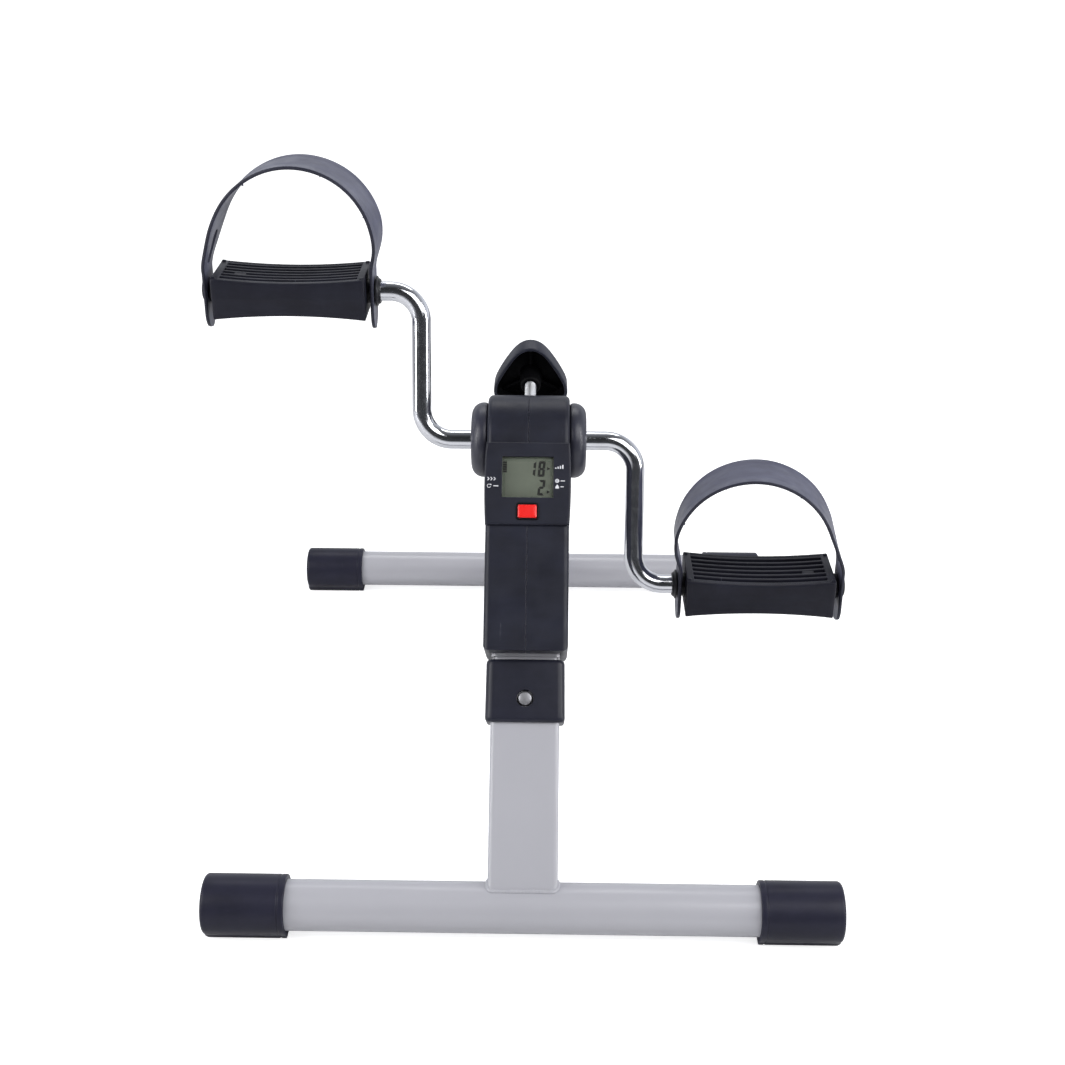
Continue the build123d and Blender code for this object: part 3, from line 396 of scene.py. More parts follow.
def paint(name, base, shade, rough):
    """Sprayed enamel on steel: orange peel, faint specks, soft dust, and paler edges that are partly rubbed
    wear and partly a painted highlight.
    """
    m = Nodes(name)
    tone = m.ramp(m.noise(14, 5), 0.3, 0.7)
    colour = m.mix(tone, srgb(*base), srgb(*shade))
    specks = m.ramp(m.noise(1500, 2, 0.5, seed=2.0), 0.70, 0.76)
    colour = m.mix(m.maths("MULTIPLY", specks, 0.12), colour, srgb(120, 120, 126))
    # Paler edges: partly rubbed wear, partly a painted highlight where the edges would catch the light.
    mask, normal = m.edge(0.8)
    rub_and_highlight = m.maths("MULTIPLY", mask, m.ramp(m.noise(120, 4, seed=6.0), 0.4, 0.7, 0.1, 0.5))
    colour = m.mix(rub_and_highlight, colour, srgb(222, 222, 228))
    m.set("Base Color", colour)
    m.set("Roughness", m.ramp(m.noise(60, 4, seed=8.0), 0.3, 0.7, *rough))
    m.set("Coat Weight", 0.25)
    m.set("Coat Roughness", 0.12)
    peel = m.noise(420, 3, 0.5, seed=4.0)
    m.set("Normal", m.bump(peel, 0.35, 0.06, normal))
    return m.mat


def metal(name, base, rough, brush=0.0, stretch=(1, 1, 1), bump_mm=0.02, tarnish=None):
    """Metal with brushed or polished roughness and slight tarnish."""
    m = Nodes(name)
    spots = m.ramp(m.noise(70, 6, seed=2.0), 0.45, 0.75)
    dull = tarnish or tuple(c * 0.8 for c in base[:3]) + (1,)
    m.set("Base Color", m.mix(m.maths("MULTIPLY", spots, 0.5), base, dull))
    m.set("Metallic", 1.0)
    grain = m.noise(700, 4, 0.6, stretch=stretch, seed=5.0)
    m.set("Roughness", m.ramp(grain, 0.3, 0.7, rough, rough + brush))
    m.set("Normal", m.bump(grain, 0.3, bump_mm))
    return m.mat


def simple(name, dark, light, rough, scale=120, bump_mm=0.03):
    """Two-tone noise material for small inside parts."""
    m = Nodes(name)
    n = m.noise(scale, 5)
    m.set("Base Color", m.mix(m.ramp(n, 0.35, 0.65), srgb(*dark), srgb(*light)))
    m.set("Roughness", m.ramp(m.noise(scale * 2, 3, seed=3.0), 0.3, 0.7, rough - 0.06, rough + 0.06))
    m.set("Normal", m.bump(m.noise(scale * 6, 3, seed=7.0), 0.4, bump_mm))
    return m.mat


M = {}
M["paint"] = paint("frame_paint", (180, 180, 187), (177, 177, 184), rough=(0.29, 0.33))
# The housing's strong pale edges stand in for light lines along its sides: painted highlight as well as wear.
M["housing"] = plastic("housing_plastic", (29, 30, 40), (36, 38, 51), scratch=0.5, wear_and_highlight=0.8,
                       edge_mm=0.6)
M["bezel"] = plastic("bezel_plastic", (31, 32, 42), (36, 38, 50), grain=1400, wear_and_highlight=0.6, edge_mm=0.4)
M["cap"] = plastic("cap_plastic", (37, 37, 49), (44, 44, 59), rough=(0.34, 0.39), wear_and_highlight=0.45,
                   scratch=0.2, specular=0.18)
M["collar"] = plastic("collar_plastic", (34, 35, 45), (41, 42, 54), rough=(0.32, 0.40), wear_and_highlight=0.7)
M["hub"] = plastic("hub_plastic", (40, 41, 53), (46, 47, 61), rough=(0.36, 0.39), wear_and_highlight=0.1,
                   specular=0.55)
M["knob"] = plastic("knob_plastic", (38, 39, 50), (46, 48, 60), rough=(0.32, 0.44), wear_and_highlight=0.4)
# Near-black copy of the knob plastic for its hollow and socket: painted shade.
M["knob_inside_shade"] = plastic("knob_inside_shade", (9, 9, 11), (12, 12, 15), rough=(0.5, 0.6), wear_and_highlight=0.0,
                           specular=0.08)
M["pedal"] = plastic("pedal_plastic", (25, 25, 34), (32, 33, 44), rough=(0.36, 0.48), grain=700,
                     grain_mm=0.09, wear_and_highlight=0.55, edge_mm=0.5, scratch=0.4, specular=0.2)
# The strap plastic comes in a lighter copy for its broad faces and a darker copy for its sides: lit and
# shaded copies of one plastic, painted light and shade.
M["strap"] = plastic("strap_pvc_lit", (74, 75, 92), (88, 90, 109), rough=(0.32, 0.45), grain=1100,
                     grain_mm=0.04, wear_and_highlight=0.15, streak=0.5)
M["strap_edge"] = plastic("strap_rim_shade", (38, 39, 50), (50, 51, 64), rough=(0.36, 0.46), grain=1100,
                          grain_mm=0.04, wear_and_highlight=0.1)
M["bush"] = plastic("bush_plastic", (20, 20, 25), (27, 27, 33), rough=(0.32, 0.45), wear_and_highlight=0.3)
# Near-black plastic for the lip round the red button: painted shade of the gap.
M["gap"] = plastic("button_gap_shade", (10, 10, 13), (14, 14, 18), rough=(0.4, 0.5), wear_and_highlight=0.0,
                   specular=0.15)
M["chrome"] = metal("chrome_plate", (0.72, 0.73, 0.77, 1), 0.09, 0.09, stretch=(0.3, 1, 0.2), bump_mm=0.006)
M["zinc"] = metal("zinc_plate", (0.55, 0.56, 0.59, 1), 0.34, 0.2, tarnish=(0.42, 0.41, 0.38, 1))
# Same enamel as the post, but lighter than the frame paint: painted light that lifts the strip the housing
# shades.
M["channel"] = paint("channel_paint_lightened", (196, 197, 204), (190, 191, 198), rough=(0.34, 0.4))
M["pin"] = metal("button_steel", (0.34, 0.34, 0.36, 1), 0.42, 0.14)
M["steel"] = metal("bare_steel", (0.42, 0.42, 0.44, 1), 0.3, 0.2, stretch=(1, 8, 8))
M["nylon"] = simple("nylon", (205, 203, 190), (220, 218, 208), 0.45)
M["felt"] = simple("wool_felt", (92, 88, 78), (122, 116, 104), 0.9, 900, 0.3)
M["board"] = simple("circuit_board", (12, 70, 32), (20, 92, 44), 0.35, 200)
M["cable"] = simple("cable_sleeve", (20, 20, 22), (30, 30, 33), 0.5)
M["red"] = simple("red_button", (236, 32, 30), (242, 38, 34), 0.32, 60, 0.004)
M["ink"] = simple("lcd_ink", (10, 11, 10), (15, 16, 14), 0.5, 500, 0.0)
M["print"] = simple("white_print", (215, 216, 222), (230, 231, 236), 0.5, 800, 0.01)
M["lcd"] = simple("lcd_panel", (124, 131, 118), (130, 137, 123), 0.35, 60, 0.0)


def lens_material():
    """Clear acrylic window that doesn't darken what is behind it."""
    m = Nodes("clear_lens")
    m.set("Roughness", m.ramp(m.noise(200, 3), 0.3, 0.7, 0.04, 0.09))
    clear = m.add("ShaderNodeBsdfTransparent")
    gloss = m.add("ShaderNodeBsdfGlossy", Roughness=0.15)
    rim = m.add("ShaderNodeFresnel", IOR=1.38)
    mixer = m.add("ShaderNodeMixShader")
    m.link(m.maths("MULTIPLY", rim.outputs[0], 0.12), mixer.inputs[0])
    m.link(clear.outputs[0], mixer.inputs[1])
    m.link(gloss.outputs[0], mixer.inputs[2])
    m.link(mixer.outputs[0], m.tree.nodes["Material Output"].inputs["Surface"])
    return m.mat


M["lens"] = lens_material()

NODE_MATERIAL = {
    "paint": ["main_post", "rear_leg", "front_leg_tube"],
    "housing": ["housing_left", "housing_right"],
    "bezel": ["display_bezel"],
    "bush": ["reed_sensor"],
    "zinc": ["hinge_pin", "head_bracket", "tension_nut", "housing_screws", "cross_bolts",
             "snap_spring", "spindle_clips", "snap_button", "battery", "drum_magnet"],
    "steel": ["axle_sleeve", "brake_drum"],
    "nylon": ["bearing_left", "bearing_right", "brake_shoe"],
    "felt": ["brake_felt"],
    "board": ["circuit_board"],
    "cable": ["sensor_cable"],
    "lcd": ["lcd_panel"],
    "lens": ["display_lens"],
}
for key, nodes in NODE_MATERIAL.items():
    for node in nodes:
        for slot in frame["nodes"][node].material_slots:
            slot.material = M[key]


# ---- feet ----
def foot(name, body, where):
    """Painted cross tube of one foot and the moulded caps on its ends."""
    low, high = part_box(f"{name}_foot_tube")
    half = (high[0] - low[0]) * 500
    r = radius_mm(f"{name}_foot_tube")
    inner = r - 1.5
    tube = lathe([(-half, inner), (-half, r - 0.4), (-half + 0.4, r), (half - 0.4, r), (half, r - 0.4),
                  (half, inner)], 128)
    piece = make(f"{name}_tube_skin", body, *tube, world_mm(where), M["paint"], "frame_paint")
    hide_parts(f"{name}_foot_tube")
    for side in ("left", "right"):
        foot_cap(f"{name}_cap_{side}", body, where, r, side_sign(side))


def foot_cap(node, body, where, tube_r, sign):
    """Hollow cap with a gripping ring, a rounded end and a flat pad that stands on the floor."""
    low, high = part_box(node)
    near, far = span_mm(node)
    outer_r = (high[2] - where.z) * 1000
    depth = (where.z - low[2]) * 1000
    pad, rim = 11.0, 2.6                            # half depth of the pad, rounding of the end
    angles = [tau * j / 96 - pi / 2 for j in range(96)]

    def ring(x, shrink):
        """Round section, let down to the pad underneath."""
        points = []
        for a in angles:
            y, z = (outer_r - shrink) * math.cos(a), (outer_r - shrink) * math.sin(a)
            if abs(y) < pad and z < 0:
                ease = min(1.0, max(0.0, (pad - abs(y)) / 2.5))
                z = z + (shrink - depth - z) * ease
            points.append((sign * x, y, z))
        return points

    def bore(x, radius):
        return [(sign * x, radius * math.cos(a), radius * math.sin(a)) for a in angles]

    rings = [bore(far - 3.6, 2.0), bore(far - 3.6, tube_r + 0.02), bore(near, tube_r + 0.02)]
    rings += [ring(near, 0.8), ring(near + 0.25, 0.25), ring(near + 0.9, 0.0)]
    rings += [ring(near + x, shrink) for x, shrink in ((3.2, 0.0), (3.6, 0.35), (4.2, 0.35), (4.6, 0.0))]
    rings += [ring(near + (far - near) * t, 0.0) for t in (0.25, 0.5, 0.75)]
    for t in [math.radians(a) for a in range(0, 91, 15)]:
        rings.append(ring(far - rim * (1 - math.sin(t)), rim * (1 - math.cos(t))))
    rings += [ring(far, 4.2), ring(far - 0.5, 4.9), bore(far - 0.5, 2.0)]
    piece = make(f"{node}_skin", body, *loft(rings), world_mm(where), M["cap"], "black_plastic")
    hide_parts(node)


foot("front", "front_leg", FRONT)
foot("rear", "frame", REAR)


def weld_bead(name, body, place, tube_r):
    """Bead round a rectangular tube where it meets a cross tube, with weld ripples."""
    size, step = 1.25, 0.45
    outline = rounded_rect(TUBE_HALF_W, TUBE_HALF_D, TUBE_CORNER, 8)
    dense = []
    for i, p in enumerate(outline):
        q = outline[(i + 1) % len(outline)]
        length = math.dist(p, q)
        count = max(1, int(length / step))
        for k in range(count):
            dense.append((p[0] + (q[0] - p[0]) * k / count, p[1] + (q[1] - p[1]) * k / count))
    path = [Vector((x, y, math.sqrt(max(0.0, tube_r**2 - y * y)) + 0.2)) for x, y in dense]
    n = len(path)
    rings = []
    travel = 0.0
    for i, p in enumerate(path):
        ahead = (path[(i + 1) % n] - path[i - 1]).normalized()
        travel += (p - path[i - 1]).length
        side = ahead.cross(Vector((0, 0, 1))).normalized()
        r = size * (1 + 0.13 * abs(math.sin(travel * 1.5)) + 0.07 * math.sin(travel * 0.37))
        rings.append(circle_at(p, side, side.cross(ahead).normalized(), r, 12))
    make(name, body, *loft(rings, cyclic=True), place, M["paint"], "frame_paint")


weld_bead("front_weld", "front_leg", UPRIGHT, radius_mm("front_foot_tube"))
rear_run = (UPRIGHT @ Vector((0, TUBE_HALF_D, REAR_JOIN_Z)) - REAR).normalized()
REAR_LEG = axes(REAR, rear_run.cross(Vector((1, 0, 0))), rear_run)
weld_bead("rear_weld", "frame", REAR_LEG, radius_mm("rear_foot_tube"))


# ---- collar and snap button ----
def collar():
    """U-shaped moulded collar, rounded at the front corners, slightly wider at the bottom."""
    z0, z1 = COLLAR_Z
    inner_w, inner_y = TUBE_HALF_W + 0.08, -TUBE_HALF_D - 0.08
    r, edge = 5.0, 3.0                              # corner radius, rounding of the top and bottom
    corner = [math.radians(a) for a in range(0, 91, 10)]
    bend = [math.radians(a) for a in range(0, 91, 15)]

    def outline(grow):
        w, f = COLLAR_HALF_W + grow, COLLAR_FRONT + grow
        pts = [(w, TUBE_HALF_D)]
        pts += [(w - r + r * math.cos(t), -f + r - r * math.sin(t)) for t in corner]
        pts += [(-w + r - r * math.sin(t), -f + r - r * math.cos(t)) for t in corner]
        pts += [(-w, TUBE_HALF_D), (-inner_w, TUBE_HALF_D), (-inner_w, inner_y), (inner_w, inner_y),
                (inner_w, TUBE_HALF_D)]
        return pts

    levels = [(z0 + edge * (1 - math.cos(t)), -edge * (1 - math.sin(t)) * 0.62) for t in bend]
    levels += [(z0 + 10, 0.0), (z0 + 20, 0.0), (z1 - 10, 0.0)]
    levels += [(z1 - edge * (1 - math.cos(t)), -edge * (1 - math.sin(t)) * 0.62) for t in reversed(bend)]
    rings = []
    for z, grow in levels:
        taper = 0.4 * (z1 - z) / (z1 - z0)
        rings.append([(x, y, z) for x, y in outline(grow + taper)])
    piece = make("collar_skin", "front_leg", *loft(rings), UPRIGHT, M["collar"], "black_plastic")
    hole = lathe([(-20, 5.45), (0, 5.45)], 64, closed=False)
    cut(piece, hole, UPRIGHT @ Matrix.Translation((0, -4, SNAP_Z)) @ Matrix.Rotation(pi / 2, 4, "Z"))
    smooth_by_angle(piece, 35)
    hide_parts("leg_collar")


collar()


def snap():
    """Flanged steel button with a shallow dome."""
    profile = [(7.05, 0.01), (7.05, 6.0), (8.4, 6.0), (8.4, 4.25), (14.4, 4.25)]
    profile += [(16.3, 4.25), (16.75, 4.1), (17.05, 3.7), (17.25, 3.0), (17.4, 1.8), (17.48, 0.01)]
    turn = UPRIGHT @ Matrix.Translation((0, 0, SNAP_Z)) @ Matrix.Rotation(-pi / 2, 4, "Z")
    button = lathe(profile, 64, closed=False)
    piece = make("snap_button_skin", "snap_button", *button, turn, M["pin"], "zinc_steel")
    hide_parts("snap_button")


snap()


# ---- fold hinge ----
def channel():
    """Bent steel channel inside the post: a U of sheet with rounded bends and two rounded ears."""
    low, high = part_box("hinge_channel")
    w = (high[0] - low[0]) * 500
    d, t, nose, top, bend_r = CHANNEL_HALF_D, CHANNEL_WALL, CHANNEL_NOSE, CHANNEL_TOP, 1.8
    pin = UPRIGHT.inverted() @ centre("hinge_pin")
    foot_z = pin.z + 1
    section = [(w, d), (w - t, d), (w - t, -d + t + 0.6), (w - t - 0.6, -d + t), (-w + t + 0.6, -d + t),
               (-w + t, -d + t + 0.6), (-w + t, d), (-w, d)]
    bend = [math.radians(a) for a in range(0, 91, 15)]
    section += [(-w + bend_r - bend_r * math.cos(a), -d + bend_r - bend_r * math.sin(a)) for a in bend]
    section += [(w - bend_r + bend_r * math.sin(a), -d + bend_r - bend_r * math.cos(a)) for a in bend]
    shell = loft([[(x, y, z) for x, y in section] for z in (foot_z, 0.5 * (foot_z + top), top)])
    # Lighter paint than the post: painted light on the shaded strip below the housing.
    piece = make("hinge_channel_skin", "frame", *shell, UPRIGHT, M["channel"], "zinc_steel")
    turn = UPRIGHT @ Matrix.Translation((0, -d, SNAP_Z)) @ Matrix.Rotation(pi / 2, 4, "Z")
    cut(piece, lathe([(-4, 4.35), (4, 4.35)], 48, closed=False), turn)
    bevelled(piece, 0.25)
    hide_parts("hinge_channel")
    ear = [(d, foot_z + 0.2), (-d + 0.2, foot_z + 0.2)] + arc(pin.y, pin.z, nose, 180, 270, 12)
    ear += [(d - 1.0, pin.z - nose), (d, pin.z - nose + 1.0)]
    parts = [loft([[(x, y, z) for y, z in ear] for x in (side, side + t)]) for side in (-w, w - t)]
    pad = [(x, z + 182.5) for x, z in rounded_rect(w / 2, 17.5, 1.5)]
    parts.append(loft([[(x, y, z) for x, z in pad] for y in (-11.0, -d + 0.02)]))
    ears = make("hinge_channel_ears", "frame", *join(*parts), UPRIGHT, M["channel"], "zinc_steel")
    bevelled(ears, 0.2)


channel()


# ---- hub covers ----
def hub(side):
    """Round hub cover with a generously rounded edge and a bore for the crank rod."""
    node = f"hub_cover_{side}"
    near, far = span_mm(node)
    r, edge = radius_mm(node), 8.2
    profile = [(near + 0.02, r - 3.4), (near + 0.05, r - 1.6), (near + 0.7, r - 0.55), (near + 1.8, r - 0.1)]
    for t in [math.radians(a) for a in range(0, 91, 6)]:
        profile.append((far - edge * 0.98 * (1 - math.sin(t)), r - edge * (1 - math.cos(t))))
    profile += [(far, 11.0), (far - 0.5, 10.0), (far - 0.5, 8.0), (far - 0.9, 7.1), (far - 2.4, 7.1),
                (far - 2.5, 20.0), (near + 0.02, 21.5)]
    cover = lathe([(side_sign(side) * x, rr) for x, rr in profile], 128)
    piece = make(f"{node}_skin", "frame", *cover, CRANK, M["hub"], "black_plastic")
    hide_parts(node)


hub("left")
hub("right")


# ---- crank rods ----
def rod(side):
    """Polished bent rod from the axle out to the pedal; the two arms point opposite ways."""
    sign = side_sign(side)
    up, arm_x, bend = -sign, ROD_ARM_X, ROD_BEND
    turns = [math.radians(a) for a in range(0, 91, 3)]
    path = [(2.0, 0.0), (26.0, 0.0)]
    path += [(arm_x - bend + bend * math.sin(t), up * bend * (1 - math.cos(t))) for t in turns]
    path += [(arm_x, up * (THROW / 2))]
    path += [(arm_x + bend * (1 - math.cos(t)), up * (THROW - bend + bend * math.sin(t))) for t in turns]
    path += [(x, up * THROW) for x in (150.0, 200.2, 200.7, 201.0)]
    radii = [ROD_R] * (len(path) - 2) + [ROD_R - 0.15, ROD_R - 0.9]
    tube = sweep([(sign * x, 0.0, z) for x, z in path], radii, 72)
    piece = make(f"crank_{side}_skin", "crank", *tube, CRANK, M["chrome"], "chrome_rod")
    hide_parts(f"crank_{side}")


rod("left")
rod("right")


# ---- pedals ----
def pedal(side):
    """Moulded pedal: walls, tread bars, end blocks, core, underside web, corner lugs and a stop."""
    sign = side_sign(side)
    x0, x1, d = PEDAL_IN, PEDAL_OUT, PEDAL_HALF_D
    middle, half = (x0 + x1) / 2, (x1 - x0) / 2

    def top(x):
        return PEDAL_HALF_H - PEDAL_SAG * (1 - ((x - middle) / half) ** 2)

    def bottom(x):
        return -top(x)

    def wall(face):
        """Long side wall with its faint waist crease; face is -1 front or 1 back."""
        rings = []
        stops = [(x0, 1.0), (x0 + 0.35, 0.35), (x0 + 1.0, 0.0)]
        stops += [(x0 + (x1 - x0) * i / 28, 0.0) for i in range(1, 28)]
        stops += [(x1 - 1.0, 0.0), (x1 - 0.35, 0.35), (x1, 1.0)]
        for x, inset in stops:
            t, b = top(x) - inset * 0.6, bottom(x) + inset * 0.6
            o = d - inset * 0.8
            section = [(o - 2.6, t - 0.15), (o - 1.6, t), (o - 0.55, t - 0.16), (o - 0.12, t - 0.7),
                       (o, t - 1.6), (o, 1.2), (o - 0.06, 0.4), (o - 0.25, -0.5), (o - 1.05, b + 1.4),
                       (o - 1.3, b + 0.6), (o - 1.9, b), (o - 3.2, b + 0.1), (o - 3.2, b + 3.0),
                       (o - 2.6, t - 2.2)]
            rings.append([(sign * x, face * y, z) for y, z in section])
        return loft(rings)

    parts = [wall(-1), wall(1)]

    def add(a, b, ys, zs, *rounding):
        parts.append(mirrored(bar(a, b, ys, zs, *rounding), sign))

    last, tread_half = TREAD_BARS // 2, 1.2
    for i in range(-last, last + 1):
        y = i * TREAD_PITCH
        front = -d + 2.0 if i == -last else y - tread_half
        back = d - 2.0 if i == last else y + tread_half
        add(x0 + 3, x1 - 3, (front, back), (lambda x: 3.0, lambda x: top(x) - 0.35), 0.45, 24)
    for a, b in ((x0, x0 + 4.8), (x1 - 4.8, x1)):
        add(a, b, (-d + 0.9, d - 0.9), (lambda x: bottom(x) + 0.1, lambda x: top(x) + 0.02), 0.9, 6, 0.7)
    add(x0 + 5, x1 - 5, (-9.4, 9.4), (lambda x: -8.5, lambda x: 7.0), 1.5, 6)
    add(x0 + 5, x1 - 5, (-d + 1.6, d - 1.6), (lambda x: bottom(x) + 1.0, lambda x: bottom(x) + 3.2), 0.5, 20)
    for y in (d - 4.2, -d + 2.0):
        for a, b in ((x0 + 0.6, x0 + 3.0), (x1 - 3.0, x1 - 0.6)):
            add(a, b, (y, y + 2.2), (lambda x: 8.0, lambda x: top(x) + 0.75), 0.35, 2, 0.3)
    add(x1 - 20, x1 - 12.5, (-4.6, 1.2), (lambda x: 5.0, lambda x: top(x) - 0.6), 0.3, 3, 0.3)
    place = world_mm(SPINDLE[side])
    piece = make(f"pedal_{side}_skin", f"pedal_{side}", *join(*parts), place, M["pedal"], "pedal_plastic")
    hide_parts(f"pedal_{side}_body")


pedal("left")
pedal("right")


# ---- straps ----
def clamped_spline(points, start, end, count):
    """Smooth curve through points with given end directions, sampled evenly in its parameter."""
    pts = np.array(points, float)
    t = np.concatenate([[0.0], np.cumsum(np.linalg.norm(np.diff(pts, axis=0), axis=1))])
    n = len(pts)
    h = np.diff(t)
    left, right = np.zeros((n, n)), np.zeros((n, 2))
    left[0, 0] = left[-1, -1] = 1.0
    right[0], right[-1] = start, end
    for i in range(1, n - 1):
        left[i, i - 1], left[i, i], left[i, i + 1] = h[i], 2 * (h[i - 1] + h[i]), h[i - 1]
        right[i] = 3 * ((pts[i] - pts[i - 1]) * h[i] / h[i - 1] + (pts[i + 1] - pts[i]) * h[i - 1] / h[i])
    slope = np.linalg.solve(left, right)
    out = []
    for u in np.linspace(t[0], t[-1], count):
        i = min(n - 2, max(0, int(np.searchsorted(t, u) - 1)))
        s = (u - t[i]) / h[i]
        out.append(tuple((2 * s**3 - 3 * s * s + 1) * pts[i] + (s**3 - 2 * s * s + s) * h[i] * slope[i]
                         + (3 * s * s - 2 * s**3) * pts[i + 1] + (s**3 - s * s) * h[i] * slope[i + 1]))
    return out


def strap(side):
    """Soft moulded strap with rolled edges, pivot holes, an adjusting slot and small nubs."""
    sign = side_sign(side)
    tongue, end_w, half_t = STRAP_TONGUE, STRAP_END_HALF_W, STRAP_T / 2
    drops = (0.0, 0.5, 1.3, 2.6, 4.5, 7.0, 10.0, 12.5, 18.8, 25.0, 31.0, 35.5)
    line = [(-STRAP_FOOT, tongue + d) for d in drops]
    ends = [(-STRAP_FOOT, STRAP_STRAIGHT)] + STRAP_LINE + [(STRAP_FOOT, STRAP_STRAIGHT)]
    line += clamped_spline(ends, (0, 1), (0, -1), 130)
    line += [(STRAP_FOOT, tongue + d) for d in reversed(drops)]
    twist = 0.10 if side == "right" else 0.06

    def half_width(z):
        """Rounded tongue, straight end, then widening to the full width."""
        if z < tongue + end_w:
            return math.sqrt(max(0.05, end_w**2 - (tongue + end_w - z) ** 2))
        if z < STRAP_STRAIGHT:
            return end_w
        if z < STRAP_FULL_Z:
            u = (z - STRAP_STRAIGHT) / (STRAP_FULL_Z - STRAP_STRAIGHT)
            return end_w + (STRAP_HALF_W - end_w) * (1 - (1 - u) ** 2)
        return STRAP_HALF_W

    def normal(i):
        """Unit vector across the curve at a point, away from the pedal."""
        p0, p1 = line[max(i - 1, 0)], line[min(i + 1, len(line) - 1)]
        tx, tz = p1[0] - p0[0], p1[1] - p0[1]
        length = math.hypot(tx, tz)
        return -tz / length, tx / length

    def section(w):
        """Outline across the strap, (y, height), with rolled edges on the outer face."""
        rim = min(1.3, w * 0.3)
        outer = [(w, 0.0), (w - 0.12, 0.45), (w - 0.5, 0.95), (w - rim, 1.0), (w - rim - 0.5, 0.8),
                 (w * 0.5, 0.84)]
        inner = [(w - 0.12, -0.45), (w - 0.5, -0.9), (w - rim, -1.0), (w * 0.5, -1.0)]
        points = [(-y, k) for y, k in outer] + [(0, 0.86)] + outer[::-1]
        points += inner + [(0, -1.0)] + [(-y, k) for y, k in reversed(inner)]
        return [(y, k * half_t) for y, k in points]

    rings = []
    for i, (x, z) in enumerate(line):
        nx, nz = normal(i)
        skew = twist * min(1.0, max(0.0, (z - STRAP_STRAIGHT) / 30))
        rings.append([(sign * (STRAP_MID + x + nx * o) + skew * y, y, z + nz * o)
                      for y, o in section(half_width(z))])
    place = world_mm(SPINDLE[side]) @ Matrix.Rotation(-math.radians(1.0), 4, "X")
    piece = make(f"strap_{side}_skin", f"strap_{side}", *loft(rings), place, M["strap"], "strap_plastic")
    flip = place @ Matrix.Scale(sign, 4, (1, 0, 0))
    cut(piece, lathe([(98, 8.15), (106, 8.15)], 64, closed=False), flip)
    cut(piece, lathe([(210.0, 5.2), (214.8, 5.2)], 48, closed=False), flip)
    outline = arc(0, 36.0, 4.4, 0, 180, 12) + arc(0, 21.5, 4.4, 180, 360, 12)
    cut(piece, loft([[(x, y, z) for y, z in outline] for x in (200.0, 222.0)]), flip)
    # Faces that look along the pedal take the darker copy: painted shade on the strap's sides, against the
    # painted-lit broad faces.
    piece.data.materials.append(M["strap_edge"])
    for poly in piece.data.polygons:
        if abs(poly.normal.y) > 0.5:
            poly.material_index = 1
    smooth_by_angle(piece, 50)
    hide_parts(f"pedal_{side}_strap")

    nubs = []
    for i in (38, 62, 96):
        (x, z), (nx, nz) = line[i], normal(i)
        y = 3.0 - half_width(z)
        rings = []
        for o, r in ((0.9, 0.75), (1.7, 0.7), (2.1, 0.5), (2.2, 0.02)):
            circle = [(r * math.cos(tau * j / 12), r * math.sin(tau * j / 12)) for j in range(12)]
            rings.append([(sign * (STRAP_MID + x - nx * o) + along * abs(nz) + twist * y, y + across,
                           z - nz * o + along * abs(nx)) for along, across in circle])
        nubs.append(loft(rings))
    make(f"strap_{side}_nubs", f"strap_{side}", *join(*nubs), place, M["strap"], "strap_plastic")


strap("left")
strap("right")


# ---- tension knob and screw ----
def knob():
    """Hollow knob with three lobes, ribs inside and a socket for the screw."""
    rim, back = KNOB_RIM, KNOB_BACK
    angles = [tau * j / 180 for j in range(180)]
    lobes = [KNOB_MEAN_R + KNOB_LOBE * math.cos(3 * a) + KNOB_LOBE_2 * math.cos(6 * a) for a in angles]

    def lobed(z, shrink):
        return [((r - shrink) * math.sin(a), -(r - shrink) * math.cos(a), z) for r, a in zip(lobes, angles)]

    def disc(z, r):
        return [(r * math.sin(a), -r * math.cos(a), z) for a in angles]

    rings = [disc(back, 0.4), disc(back - 0.05, 6.0), disc(back - 0.25, 12.0), lobed(back - 0.6, 4.6)]
    for t in [math.radians(a) for a in range(0, 91, 10)]:
        rings.append(lobed(back - 4.0 + 3.4 * math.cos(t), 3.6 - 3.4 * math.sin(t)))
    lip = ((8, 0.12), (4, 0.04), (1, 0), (0.35, 0.15), (0, 0.6), (0, 1.9), (0.4, 2.3), (1.2, 2.4))
    rings += [lobed(rim + z, shrink) for z, shrink in lip]
    rings += [lobed(back - 4.2, 3.0), lobed(back - 3.2, 3.8), lobed(back - 3.0, 6.0)]
    rings += [disc(back - 3.0, 9.5), disc(back - 3.4, 8.0), disc(rim - 3.6, 7.0), disc(rim - 4.4, 6.3)]
    rings += [disc(rim - 4.5, 4.6), disc(rim - 4.1, 3.96), disc(back - 3.2, 3.96)]
    parts = [loft(rings)]
    for k in range(3):
        a = tau * k / 3 - pi / 2
        verts, faces = bar(7.0, 22.0, (-0.9, 0.9), (lambda x: rim + 8.5, lambda x: back - 2.6), 0.4, 3, 0.2)
        c, s = math.cos(a), math.sin(a)
        parts.append(([(x * c - y * s, x * s + y * c, z) for x, y, z in verts], faces))
    piece = make("tension_knob_skin", "knob", *join(*parts), TENSION, M["knob"], "knob_plastic")
    # The hollow and the screw socket take the near-black copy: painted shade inside the knob.
    piece.data.materials.append(M["knob_inside_shade"])
    to_local = TENSION.inverted()
    for poly in piece.data.polygons:
        at = to_local @ poly.center
        facing = (to_local.to_3x3() @ poly.normal).normalized()
        reach = math.hypot(at.x, at.y)
        outward = facing.x * at.x + facing.y * at.y
        in_hollow = rim + 0.6 < at.z < back - 2.0 and outward < 0.35 * reach
        in_socket = reach < 8.5 and at.z < back - 2.0
        if in_hollow or in_socket:
            poly.material_index = 1
    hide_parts("tension_knob")


knob()


